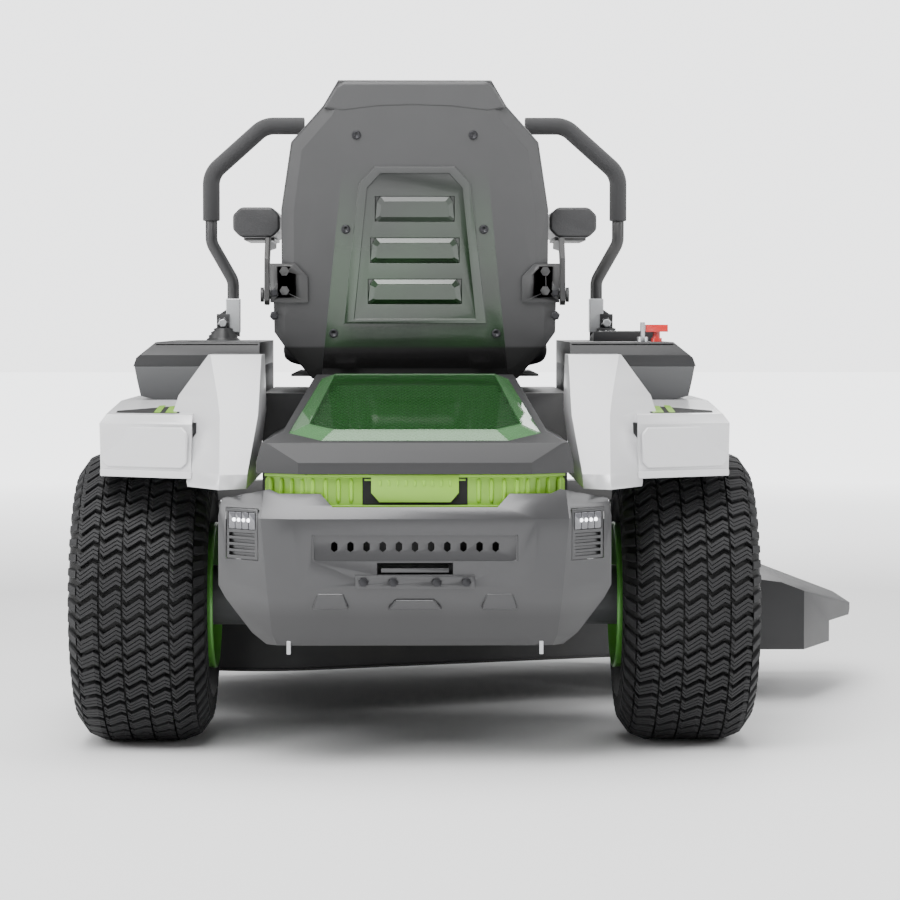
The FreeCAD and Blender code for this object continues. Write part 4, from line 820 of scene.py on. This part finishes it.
class MOWER_OT_rear_rims(bpy.types.Operator):
    """Build both rear wheels: pressed green rims, inner lips and wheel nuts"""
    bl_idname = "mower.rear_rims"
    bl_label = "Rear Rims"

    def execute(self, context):
        for name, side in SIDES:
            node = "rear_rim_" + name
            body = body_of(node)
            rim = rounded(node, "rim", 1.6, 3, 25.0)
            rim.name = "rim_shell_" + name
            lip = ((84, 103), (90, 112), (100, 116), (110, 118), (113, 117), (113, 115.5),
                   (100, 112), (86, 101))
            revolve("rim_lip_" + name, [(-side * along, radius) for along, radius in lip],
                    at(side * WHEEL_X, 0, TYRE_RADIUS), "rim", body)
            for nut in range(5):
                turn = math.radians(90 + 72 * nut)
                spot = at(side * 462, 57 * math.cos(turn), TYRE_RADIUS + 57 * math.sin(turn))
                hexagon_head("wheel_nut_%s_%d" % (name, nut), spot, 9.5, 12,
                             "X" if side > 0 else "-X", "steel", body)
        return {"FINISHED"}


# ---- rear bumper and lamps ----
class MOWER_OT_bumper(bpy.types.Operator):
    """Build the rear bumper: rounded shell, three raised bumps, side tabs and the recess's rim"""
    bl_idname = "mower.bumper"
    bl_label = "Bumper"

    def execute(self, context):
        rounded("rear_bumper", "bumper", 1.8, 3, 18.0)
        bumps = ((-125, 27, 20), (0, 40, 11), (125, 27, 20))
        for index, (x, half, rise) in enumerate(bumps):
            outline = [(x - half, 250), (x - half * 0.72, 254 + rise), (x + half * 0.72, 254 + rise),
                       (x + half, 250)]
            prism("bumper_bump_%d" % index, outline, "Y", -399.6, -385, "bumper",
                  "chassis", 2.5, 3)
        for side in (-1, 1):
            prism("bumper_tab_%d" % side, rectangle(side * 188 - 3, 180, side * 188 + 3, 200),
                  "Y", -368, -358, "steel", "chassis", 0.8)
        outer = [(152, 359.5), (152, 322.5), (146, 319)]
        inner = [(149, 359.5), (149, 324), (144, 322)]
        outline = mirrored(outer) + outer[::-1] + inner + mirrored(inner[::-1])
        prism("bumper_recess_rim", outline, "Y", -399.9, -396, "bumper", "chassis",
              0.8)
        return {"FINISHED"}


LENS_X = 227.6
LENS_Y = -389
LENS_SLOPE = 64 / 67.4


class MOWER_OT_lamps(bpy.types.Operator):
    """Build the lamps: housings, smoked covers and four lit dots in each tail lamp"""
    bl_idname = "mower.lamps"
    bl_label = "Tail Lamps"

    def execute(self, context):
        rounded("lamp_housings", "bumper", 1.2, 3, merge=False)
        rounded("lamp_lenses", "lens", 1.0, 3)
        for side in (-1, 1):
            for index in range(4):
                x = 247 + index * 7.6
                y = LENS_Y + (x - LENS_X) * LENS_SLOPE + 2.2
                revolve("led_%d_%d" % (side, index),
                        [(0, 2.9), (-1.8, 2.7), (-2.6, 1.6), (-2.9, 0.01)],
                        at(side * x, y, 380), "led", "chassis", 20, "Y")
        return {"FINISHED"}


# ---- battery box and hood ----
BAND_PATH = ((-225, 54), (-225, -332), (-161, -370), (161, -370), (225, -332), (225, 54))


def narrow_band(shape):
    """Draw the battery box's walls in by the height of the band's ribs."""
    for vert in shape.verts:
        spot = in_mm(vert.co)
        if abs(spot.x) > 224 and spot.z > 390:
            vert.co.x -= math.copysign(4.0 * MM, spot.x)
        if spot.y < -331 and spot.z > 390:
            vert.co.y += 4.0 * MM


def band_rib(name, middle, along, out, half):
    """One upright rib of the band: a half-round bar that thins out at both ends."""
    verts = []
    rows = ((405, 0.35), (407, 0.8), (411, 1.0), (436, 1.0), (440, 0.8), (442, 0.35))
    for height, swell in rows:
        for step in range(7):
            turn = math.pi * step / 6
            shift = along * (-math.cos(turn) * half * swell)
            rise = out * (math.sin(turn) * 4.0 * swell)
            place = middle + shift + rise
            verts.append(at(place.x, place.y, height))
    new_piece(name, verts, bar_faces(0, len(rows), 7), "green", "chassis",
              smooth=True)


class MOWER_OT_battery_band(bpy.types.Operator):
    """Build the battery box, its packs and the light green band with upright rounded ribs"""
    bl_idname = "mower.battery_band"
    bl_label = "Battery Band"

    def execute(self, context):
        size = context.scene.mower_hood
        rounded("battery_box", "battery", 1.5, 3, change=narrow_band)
        rounded("battery_packs", "pack", 2.0, 3)
        inner = [(x * 0.962, y + (9 if y < 0 else 0)) for x, y in reversed(BAND_PATH)]
        for name, low, high in (("low", 396, 402.5), ("high", 443.5, 448.6)):
            prism("band_lip_" + name, [*BAND_PATH, *inner], "Z", low, high, "green",
                  "chassis", 1.2, 3)
        prism("latch_recess", rectangle(-78, 403, 78, 448), "Y", -366.6, -365.5,
              "hollow", "chassis")
        corners = [Vector((x, y, 0)) for x, y in BAND_PATH]
        count = 0
        for start, end in zip(corners, corners[1:]):
            run = end - start
            ribs = max(1, round(run.length / (size.rib_pitch / MM)))
            out = Vector((run.y, -run.x, 0)).normalized()
            if out.dot((start + end) / 2 - Vector((0, -150, 0))) < 0:
                out = -out
            for index in range(ribs):
                spot = start + run * ((index + 0.5) / ribs)
                if abs(spot.x) < 82 and spot.y < -350:
                    continue
                band_rib("band_rib_%02d" % count, spot - out * 4.2, run.normalized(), out,
                         size.rib_width / MM / 2)
                count += 1
        return {"FINISHED"}


HOOD_REAR_Y = -350
HOOD_REAR_Z = 494
HOOD_RISE = 0.2601


def hood_slope(y, drop):
    """Height of a sheet that lies a drop below the hood's sloping top."""
    return HOOD_REAR_Z + (y - HOOD_REAR_Y) * HOOD_RISE - drop


def half_width(y, outline):
    """Half width of a plan outline, given as (y, half width) from front to rear."""
    for (y0, w0), (y1, w1) in zip(outline, outline[1:]):
        if y1 <= y <= y0:
            return w0 + (w1 - w0) * (y - y0) / (y1 - y0)
    return 0.0


def pierced_sheet(name, pitch, hole, coat, body):
    """A sloping sheet of six-sided cells with a round hole in each, inside the lid's outline."""
    outline = ((-24, 138), (-296, 178), (-330, 140))
    verts = []
    faces = []
    rows = int(306 / (pitch * 0.866))
    for row in range(rows):
        y = -26 - row * pitch * 0.866
        reach = half_width(y, outline) - pitch
        if reach <= 0:
            continue
        for column in range(-int(reach / pitch), int(reach / pitch) + 1):
            x = (column + 0.5 * (row % 2)) * pitch
            base = len(verts)
            for radius, drop in ((None, 7.5), (hole / 2 + 0.5, 7.5), (hole / 2, 8.1),
                                 (hole / 2, 10.6)):
                for step in range(12):
                    turn = math.radians(30 * step)
                    size = radius or (pitch / 2 if step % 2 == 0 else pitch / math.sqrt(3))
                    dx = size * math.cos(turn)
                    dy = size * math.sin(turn)
                    verts.append(at(x + dx, y + dy, hood_slope(y + dy, drop)))
            for ring in range(base, base + 36, 12):
                faces += ring_faces(ring, ring + 12, 12)
    return new_piece(name, verts, faces, coat, body, outwards=False)


class MOWER_OT_hood(bpy.types.Operator):
    """Build the hood: grey frame, clear green lid, pierced black grille and its latch handle"""
    bl_idname = "mower.hood"
    bl_label = "Hood"

    def execute(self, context):
        size = context.scene.mower_hood
        rounded("hood_rim", "hood", 2.2, 3, 20.0)
        outer = [(-150, -10), (-190, -300), (-140, -338), (140, -338), (190, -300), (150, -10)]
        inner = [(-128, -14), (-160, -284), (-122, -312), (122, -312), (160, -284), (128, -14)]
        low = [at(x, y, hood_slope(y, 0.4)) for x, y in outer]
        high = [at(x, y, hood_slope(y, -9.0)) for x, y in inner]
        lid = new_piece("lid_top", high, [tuple(range(6))], "lid", "hood")
        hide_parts("hood_window")
        # the facets round the lid carry a painted highlight in their lighter green
        facets = new_piece("lid_facets", low + high, ring_faces(0, 6, 6), "facet", "hood")
        for piece in (lid, facets):
            solid = piece.modifiers.new("wall", "SOLIDIFY")
            solid.thickness = size.shell
        rounded("hood_grille", "hollow", 0.6, 1)
        pierced_sheet("grille_sheet", size.hole_pitch / MM, size.hole_size / MM, "sheet",
                      "hood")
        rounded("hood_handle", "green", 2.4, 3, 30.0)
        for index in range(9):
            x = -52 + index * 13
            prism("handle_rib_%d" % index, rectangle(x - 2, 431, x + 2, 440), "Y", -372.6, -370.5,
                  "green", "hood_latch", 1.0)
        return {"FINISHED"}


# ---- seat ----
LEAN = math.radians(8.0)
LEAN_Y = 150
LEAN_Z = 581


def leaned(x, y, z):
    """A point of the backrest, from upright millimetres to its place leaning back."""
    dy = y - LEAN_Y
    dz = z - LEAN_Z
    return at(x, LEAN_Y + dy * math.cos(LEAN) - dz * math.sin(LEAN),
              LEAN_Z + dy * math.sin(LEAN) + dz * math.cos(LEAN))


def line_gap(spot, start, end):
    """The distance of a flat point from a stretch of line."""
    share = intersect_point_line(spot, start, end)[1]
    return (spot - start.lerp(end, min(1.0, max(0.0, share)))).length


def press_channels(piece, channels, flat, direction, depth):
    """Pull the cover in along its sewn lines; flat gives the two axes that the lines lie in."""
    reach = 13.0
    for vert in piece.data.vertices:
        if vert.normal.dot(direction) > -0.35:
            continue
        spot = in_mm(vert.co)
        here = Vector((spot[flat[0]], spot[flat[1]]))
        gap = min([reach] + [line_gap(here, start, end) for start, end in channels])
        vert.co += direction * (depth * (1 - gap / reach) ** 2 * MM)


def sew(piece, name, channels, flat, direction, radius):
    """Lay a sewn cord on the cover along each line."""
    tree = BVHTree.FromPolygons([v.co for v in piece.data.vertices],
                                [p.vertices[:] for p in piece.data.polygons])
    for index, (start, end) in enumerate(channels):
        path = []
        for step in range(25):
            spot = list(direction * -1500)
            spot[flat[0]], spot[flat[1]] = start.lerp(end, step / 24)
            hit = tree.ray_cast(at(*spot), direction)[0]
            if hit is not None:
                path.append(in_mm(hit))
        if len(path) > 3:
            cord("%s_%d" % (name, index), path, radius, "seam", "seat")


def cushion(node, seams, lines, flat, direction, depth, size):
    """A sewn cushion: its stuffed cover, the channels pressed into it and their cords."""
    channels = [(Vector(start), Vector(end)) for start, end in lines]
    cover = stuffed(node, "vinyl", size)
    press_channels(cover, channels, flat, direction, depth)
    sew(cover, seams, channels, flat, direction, size.seam / MM)


CLOTH_FRAMES = 12


def stuffed(node, coat, size):
    """A cushion grown from its CAD block: an even cloth skin blown up from inside."""
    source = frame["nodes"][node].data
    piece = on_stage(node + "_cover", source.copy())
    finish_piece(piece, coat, body_of(node))
    low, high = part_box(node)
    remesh = piece.modifiers.new("skin", "REMESH")
    remesh.mode = "VOXEL"
    remesh.voxel_size = size.voxel
    apply_modifiers(piece)
    cloth = piece.modifiers.new("cover", "CLOTH")
    settings = cloth.settings
    settings.quality = 5
    settings.mass = 0.4
    settings.tension_stiffness = 22.0
    settings.compression_stiffness = 22.0
    settings.bending_stiffness = 1.2
    settings.use_pressure = True
    settings.uniform_pressure_force = size.pressure
    settings.shrink_min = size.shrink
    settings.effector_weights.gravity = 0.0
    scene = bpy.context.scene
    cloth.point_cache.frame_start = 1
    cloth.point_cache.frame_end = CLOTH_FRAMES
    for step in range(1, CLOTH_FRAMES + 1):
        scene.frame_set(step)
    apply_modifiers(piece)
    scene.frame_set(1)
    new_low = [min(v.co[i] for v in piece.data.vertices) for i in range(3)]
    new_high = [max(v.co[i] for v in piece.data.vertices) for i in range(3)]
    for vert in piece.data.vertices:
        for i in range(3):
            span = (new_high[i] - new_low[i]) or 1.0
            share = (vert.co[i] - new_low[i]) / span
            vert.co[i] = low[i] + share * (high[i] - low[i])
    even = piece.modifiers.new("even", "SMOOTH")
    even.iterations = 3
    even.factor = 0.5
    fine = piece.modifiers.new("fine", "SUBSURF")
    fine.levels = 1
    apply_modifiers(piece)
    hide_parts(node)
    return piece


def widen_rim(shape):
    """Turn the narrow step round the back of the shell into a broad chamfer."""
    foot = 583
    top = 1073
    outline = ((170, foot), (214, 635), (232, 661), (233, 723), (219, 763), (219, 863),
               (202, 973), (150, 1031), (125, top))
    line = [Vector(point) for point in outline]
    for vert in shape.verts:
        spot = in_mm(vert.co)
        dy = spot.y - LEAN_Y
        dz = spot.z - LEAN_Z
        depth = LEAN_Y + dy * math.cos(LEAN) + dz * math.sin(LEAN)
        height = LEAN_Z - dy * math.sin(LEAN) + dz * math.cos(LEAN)
        flat = Vector((abs(spot.x), height))
        gap = min([line_gap(flat, start, end) for start, end in zip(line, line[1:])])
        gap = min(gap, abs(height - top), abs(height - foot))
        if not 6 < gap < 11:
            continue
        outwards = (flat - Vector((0, 820))).normalized()
        if depth < 117:
            outwards *= -12.0
        elif 117 < depth < 126:
            outwards *= 7.0
        else:
            continue
        vert.co.x += math.copysign(outwards.x, spot.x * outwards.x) * MM
        vert.co.z += outwards.y * MM


def back_louvre(name, half, z, cut):
    """One raised louvre of the backrest: a plate with a smaller face on sloping sides."""
    plate = [(-half, z + 4), (-half + 4, z), (half - 4, z), (half, z + 4), (half - 3, z + 32),
             (half - cut, z + 41), (-half + cut, z + 41), (-half + 3, z + 32)]
    face = [(x * 0.88, z + 20.5 + (h - z - 20.5) * 0.62) for x, h in plate]
    verts = [leaned(x, depth, h) for depth, ring in ((120, plate), (114, plate), (109.6, face))
             for x, h in ring]
    faces = [tuple(range(7, -1, -1)), tuple(range(16, 24))]
    faces += ring_faces(0, 8, 8) + ring_faces(8, 16, 8)
    bevelled(new_piece(name, verts, faces, "shell", "seat"), 0.9, 2)


class MOWER_OT_seat(bpy.types.Operator):
    """Build the seat: pan, moulded shell, sewn cushions, louvres, top roll and screws"""
    bl_idname = "mower.seat"
    bl_label = "Seat"

    def execute(self, context):
        size = context.scene.mower_seat
        rounded("seat_pan", "frame", 2.0, 2)
        rounded("backrest_shell", "shell", 2.0, 3, 20.0, change=widen_rim)
        lines = [((-150, 262), (-158, 512)), ((150, 262), (158, 512)), ((-158, 512), (158, 512)),
                 ((-152, 345), (152, 345)), ((-155, 430), (155, 430))]
        cushion("seat_cushion", "seat_seam", lines, (0, 1), Vector((0, 0, -1)), 6.0, size)
        lines = [((-128, 690), (-118, 960)), ((128, 690), (118, 960)), ((-118, 960), (118, 960)),
                 ((-126, 740), (126, 740)), ((-123, 815), (123, 815)), ((-120, 890), (120, 890))]
        cushion("backrest_cushion", "back_seam", lines, (0, 2), Vector((0, -1, 0)), 7.0, size)
        for index, (half, z) in enumerate(((77, 709), (73, 777), (65, 845))):
            back_louvre("back_louvre_%d" % index, half, z, 9)
        roll = [(-150, 1029), (-127, 1066), (-116, 1072), (116, 1072), (127, 1066), (150, 1029),
                (118, 1023), (60, 1030), (0, 1032), (-60, 1030), (-118, 1023)]
        verts = [leaned(x, depth, z) for depth in (113.4, 146) for x, z in roll]
        bevelled(slab("back_top_roll", verts, "roll", "seat"), 6.0, 4)
        screws = ((-134, 660), (134, 660), (-113, 832), (113, 832), (-95, 986), (95, 986))
        for index, (x, z) in enumerate(screws):
            revolve("shell_screw_%d" % index, [(0, 7.5), (-2.2, 7.3), (-3.0, 6.2), (-2.4, 3.0),
                                               (-1.0, 2.6), (-1.0, 0.01)],
                    leaned(x, 115.8, z), "bolt", "seat", 24, "Y")
        return {"FINISHED"}


class MOWER_OT_armrests(bpy.types.Operator):
    """Build both armrests: bolted brackets, arms and padded rests"""
    bl_idname = "mower.armrests"
    bl_label = "Armrests"

    def execute(self, context):
        rounded("armrest_brackets", "frame", 0.8, 2, merge=False)
        for name, side in SIDES:
            rounded("armrest_arm_" + name, "frame", 2.0, 3)
            pad = rounded("armrest_pad_" + name, "vinyl", 5.0, 4, 20.0)
            pad.name = "armrest_cover_" + name
            for height in (690, 728):
                hexagon_head("armrest_bolt_%s_%d" % (name, height),
                             leaned(side * 231, 113, height), 6.5, 5, "-Y", "bolt",
                             "seat")
        return {"FINISHED"}


# ---- controls ----
class MOWER_OT_lap_bars(bpy.types.Operator):
    """Build both drive levers: black bent tubes, foam grips, silver sockets and rubber boots"""
    bl_idname = "mower.lap_bars"
    bl_label = "Lap Bars"

    def execute(self, context):
        for name, side in SIDES:
            rounded("lever_bracket_" + name, "frame", 1.2, 2)
            rounded("lap_bar_" + name, "frame", 1.2, 2)
            rounded("lap_grip_" + name, "foam", 4.0, 4, 40.0)
            x0, x1 = sorted((side * 306.6, side * 331.4))
            prism("bar_socket_" + name, rectangle(x0, 654, x1, 714), "Y", 403.4, 428.4,
                  "silver", "bar_" + name, 2.0, 3)
            hexagon_head("lever_bolt_" + name, at(side * 336, 391.5, 671), 8, 6, "-Y",
                         "steel", "bar_" + name)
            folds = [(640.5, 30), (643, 29), (646, 25), (649, 26), (652, 21), (655, 22), (658, 16),
                     (661, 17), (663, 12)]
            revolve("lever_boot_" + name, folds, at(side * 336, 400, 0), "console_top",
                    "chassis", 32, "Z")
        return {"FINISHED"}


FENDER_INNER_X = 340
FENDER_CORNER_Y = -246
FENDER_SWEEP = 50 / 130
FENDER_LEVEL_Y = -30
FENDER_REAR_Z = 532
FENDER_CLIMB = 16


def fender_top_spot(side, x, share, lift):
    """A point on a fender's sloping top: share runs from its rear edge to where it levels out."""
    rear = FENDER_CORNER_Y + (x - FENDER_INNER_X) * FENDER_SWEEP
    y = rear + share * (FENDER_LEVEL_Y - rear)
    return at(side * x, y, FENDER_REAR_Z + FENDER_CLIMB * share + lift)


class MOWER_OT_fenders(bpy.types.Operator):
    """Build both fenders: silver shells, raised rear panels and accent stripes on top"""
    bl_idname = "mower.fenders"
    bl_label = "Fenders"

    def execute(self, context):
        for name, side in SIDES:
            rounded("fender_" + name, "fender", 3.0, 4, 22.0)
            panel_on("fender_panel_" + name, (side * 346, -262), (side * 483, -190), 451, 514, 9,
                     3.2, (2.6, 4), "fender", "chassis")
            panel_on("fender_skirt_" + name, (side * 339, -271), (side * 486, -188.5), 436, 447,
                     1.5, 1.6, (1.0, 3), "fender", "chassis")
            accents = ((362, 462, "hollow", 0.7), (366, 384, "green", 1.0),
                       (392, 402, "green", 1.0))
            for index, (inner, outer, colour, lift) in enumerate(accents):
                far = 0.62 - 0.004 * (outer - inner)
                verts = [fender_top_spot(side, x, share, lift) for x, share in
                         ((inner, 0.10), (inner, 0.62), (outer, far), (outer, 0.10))]
                new_piece("fender_accent_%s_%d" % (name, index), verts, [(0, 1, 2, 3)],
                          colour, "chassis",
                          outwards=False)
        return {"FINISHED"}


class MOWER_OT_consoles(bpy.types.Operator):
    """Build both side consoles: grey boxes under bevelled black tops"""
    bl_idname = "mower.consoles"
    bl_label = "Consoles"

    def execute(self, context):
        for name, _ in SIDES:
            rounded("console_box_" + name, "console_box", 3.0, 3, 25.0)
            rounded("console_lid_" + name, "console_top", 2.5, 3, 25.0)
        return {"FINISHED"}


class MOWER_OT_controls(bpy.types.Operator):
    """Build the display with its glass, the red pull switch and the key switch"""
    bl_idname = "mower.controls"
    bl_label = "Controls"

    def execute(self, context):
        rounded("control_display", "console_top", 1.5, 3)
        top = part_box("control_display")[1][2] / MM
        prism("display_glass", rectangle(314, 200, 388, 262), "Z", top - 0.6, top + 0.6,
              "screen", "chassis", 0.5)
        rounded("blade_switch", "red", 2.5, 4)
        rounded("key_switch", "steel", 1.0, 3)
        return {"FINISHED"}


# ---- chassis, floor, deck and front wheels ----
class MOWER_OT_chassis(bpy.types.Operator):
    """Build the frame, seat support, rails, brackets, hitch plate and bolts"""
    bl_idname = "mower.chassis"
    bl_label = "Chassis"

    def execute(self, context):
        for node in ("main_frame", "seat_support", "seat_rails", "pivot_brackets"):
            rounded(node, "frame", 1.6, 2)
        rounded("hitch_bracket", "bumper", 1.2, 2)
        rounded("chassis_bolts", "bolt", 0.6, 2)
        return {"FINISHED"}


class MOWER_OT_floor(bpy.types.Operator):
    """Build the floor pan and its ribbed rubber mat"""
    bl_idname = "mower.floor"
    bl_label = "Floor"

    def execute(self, context):
        rounded("floor_pan", "frame", 2.5, 3)
        rounded("foot_mat", "mat", 2.0, 2)
        return {"FINISHED"}


class MOWER_OT_drive(bpy.types.Operator):
    """Build the wheel motors and what rides on the two lift shafts"""
    bl_idname = "mower.drive"
    bl_label = "Drive"

    def execute(self, context):
        rounded("drive_motors", "cast", 2.0, 3)
        for node in sorted(frame["nodes"]):
            if body_of(node).startswith("lift_"):
                rounded(node, "frame", 1.2, 2)
        return {"FINISHED"}


class MOWER_OT_deck(bpy.types.Operator):
    """Build the mowing deck: shell, hangers, blade motors, blades, chute and gauge wheels"""
    bl_idname = "mower.deck"
    bl_label = "Mowing Deck"

    def execute(self, context):
        rounded("deck_shell", "deck", 2.0, 3)
        rounded("deck_hangers", "frame", 1.2, 2)
        rounded("blade_motors", "cast", 2.5, 3)
        rounded("discharge_chute", "console_top", 3.0, 3)
        for name, _ in SIDES:
            rounded("blade_" + name, "blade", 0.6, 2)
            rounded("gauge_wheel_" + name, "console_top", 3.0, 3)
        return {"FINISHED"}


class MOWER_OT_casters(bpy.types.Operator):
    """Build the front casters: forks, ribbed tyres and green hubs"""
    bl_idname = "mower.casters"
    bl_label = "Casters"

    def execute(self, context):
        half = [(0, 140), (6, 140), (7, 136.5), (11, 136.5), (12, 139.8), (20, 139), (21, 135.5),
                (25, 135), (26, 138), (34, 135), (42, 128), (46.5, 116), (48, 102), (47, 90),
                (44, 80), (42, 75), (39, 72), (36, 70)]
        profile = mirrored(half[:0:-1]) + half
        half_bowl = [(-51, 0.01), (-51, 22), (-48, 24), (-34, 27), (-30, 34), (-33, 60), (-38, 68),
                     (-41, 74), (-38, 75), (-30, 70)]
        bowl = half_bowl + mirrored(half_bowl[::-1])
        for name, side in SIDES:
            rounded("caster_fork_" + name, "frame", 2.0, 3)
            node = "caster_wheel_" + name
            centre = at(side * 430, 1205, 140)
            tyre = revolve("caster_tyre_" + name, profile, centre, "tyre", body_of(node),
                           96)
            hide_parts(node)
            revolve("caster_hub_" + name, bowl, centre, "rim", body_of(node),
                    72)
        return {"FINISHED"}


# ---- studio ----
class MOWER_OT_studio(bpy.types.Operator):
    """Set the camera, the pale floor and the soft lights"""
    bl_idname = "mower.studio"
    bl_label = "Studio"

    def execute(self, context):
        stage = context.scene.mower_stage
        scene = context.scene
        lens = bpy.data.cameras.new("camera")
        lens.lens = stage.lens
        lens.sensor_width = 36.0
        lens.clip_end = 60.0
        camera = on_stage("camera", lens)
        camera.location = at(0, -stage.distance / MM, stage.height / MM)
        camera.rotation_euler = (math.radians(90) - stage.tilt, 0.0, -stage.pan)
        scene.camera = camera

        world = bpy.data.worlds.new("studio_air")
        world.use_nodes = True
        sky = world.node_tree.nodes["Background"]
        rays = world.node_tree.nodes.new("ShaderNodeLightPath")
        lift = world.node_tree.nodes.new("ShaderNodeMath")
        lift.operation = "MULTIPLY_ADD"
        lift.inputs[1].default_value = stage.backdrop - stage.ambient
        lift.inputs[2].default_value = stage.ambient
        world.node_tree.links.new(rays.outputs["Is Camera Ray"], lift.inputs[0])
        world.node_tree.links.new(lift.outputs[0], sky.inputs["Strength"])
        sky.inputs["Color"].default_value = (0.985, 0.99, 1.0, 1.0)
        scene.world = world

        paper = Paint("studio_paper", Base_Color=(0.88, 0.88, 0.88, 1.0), Roughness=0.75,
                      Emission_Strength=stage.backdrop)
        spot = paper.node("ShaderNodeVectorMath", {"operation": "LENGTH"}, output="Value",
                          _0=paper.place())
        glow = ((spot - 2.2) * 0.22).clamped()
        paper.feed(Emission_Color=paper.mix(glow, (0, 0, 0, 1), (0.96, 0.97, 0.98, 1)))
        sheet = bpy.data.meshes.new("studio_floor")
        sheet.from_pydata([(-30, -30, 0), (30, -30, 0), (30, 30, 0), (-30, 30, 0)], [],
                          [(0, 1, 2, 3)])
        sheet.materials.append(paper.material)
        floor = on_stage("studio_floor", sheet)
        lamps = (
            ("key", (-900, -2300, 3600), (0, 0, 500), 2.4, stage.key_power),
            ("fill_left", (-3200, -600, 1800), (0, 200, 500), 2.0, stage.fill_power),
            ("fill_right", (3200, -900, 2200), (0, 200, 500), 2.0, stage.fill_power),
            ("top", (0, 500, 4200), (0, 200, 300), 3.0, stage.fill_power * 1.6),
            ("front", (800, 4200, 2600), (0, 600, 400), 2.4, stage.fill_power),
        )
        for name, spot, aim, width, power in lamps:
            light = bpy.data.lights.new("light_" + name, "AREA")
            light.size = width
            light.energy = power
            lamp = on_stage("light_" + name, light)
            lamp.location = at(*spot)
            lamp.rotation_euler = (at(*aim) - at(*spot)).to_track_quat("-Z", "Y").to_euler()
        return {"FINISHED"}


# ---- sidebar panel and registration ----
BUILDERS = (
    MOWER_OT_rear_tyres, MOWER_OT_rear_rims, MOWER_OT_bumper, MOWER_OT_lamps,
    MOWER_OT_battery_band, MOWER_OT_hood, MOWER_OT_seat, MOWER_OT_armrests, MOWER_OT_lap_bars,
    MOWER_OT_fenders, MOWER_OT_consoles, MOWER_OT_controls, MOWER_OT_chassis, MOWER_OT_floor,
    MOWER_OT_drive, MOWER_OT_deck, MOWER_OT_casters, MOWER_OT_studio,
)
GROUPS = (
    ("mower_look", LookSettings), ("mower_tyre", TyreSettings), ("mower_hood", HoodSettings),
    ("mower_seat", SeatSettings), ("mower_stage", StageSettings),
)


class MOWER_PT_panel(bpy.types.Panel):
    """Sizes, colours and build buttons of the mower"""
    bl_idname = "MOWER_PT_panel"
    bl_label = "Mower"
    bl_space_type = "VIEW_3D"
    bl_region_type = "UI"
    bl_category = "Mower"

    def draw(self, context):
        for key, group in GROUPS:
            box = self.layout.box()
            settings = getattr(context.scene, key)
            for name in group.__annotations__:
                box.prop(settings, name)
        for builder in BUILDERS:
            self.layout.operator(builder.bl_idname)


def register():
    for key, group in GROUPS:
        bpy.utils.register_class(group)
        setattr(bpy.types.Scene, key, bpy.props.PointerProperty(type=group))
    for builder in BUILDERS:
        bpy.utils.register_class(builder)
    bpy.utils.register_class(MOWER_PT_panel)


def unregister():
    bpy.utils.unregister_class(MOWER_PT_panel)
    for builder in reversed(BUILDERS):
        bpy.utils.unregister_class(builder)
    for key, group in reversed(GROUPS):
        delattr(bpy.types.Scene, key)
        bpy.utils.unregister_class(group)


def main():
    register()
    for builder in BUILDERS:
        group, name = builder.bl_idname.split(".")
        getattr(getattr(bpy.ops, group), name)()


if __name__ == "__main__":
    main()
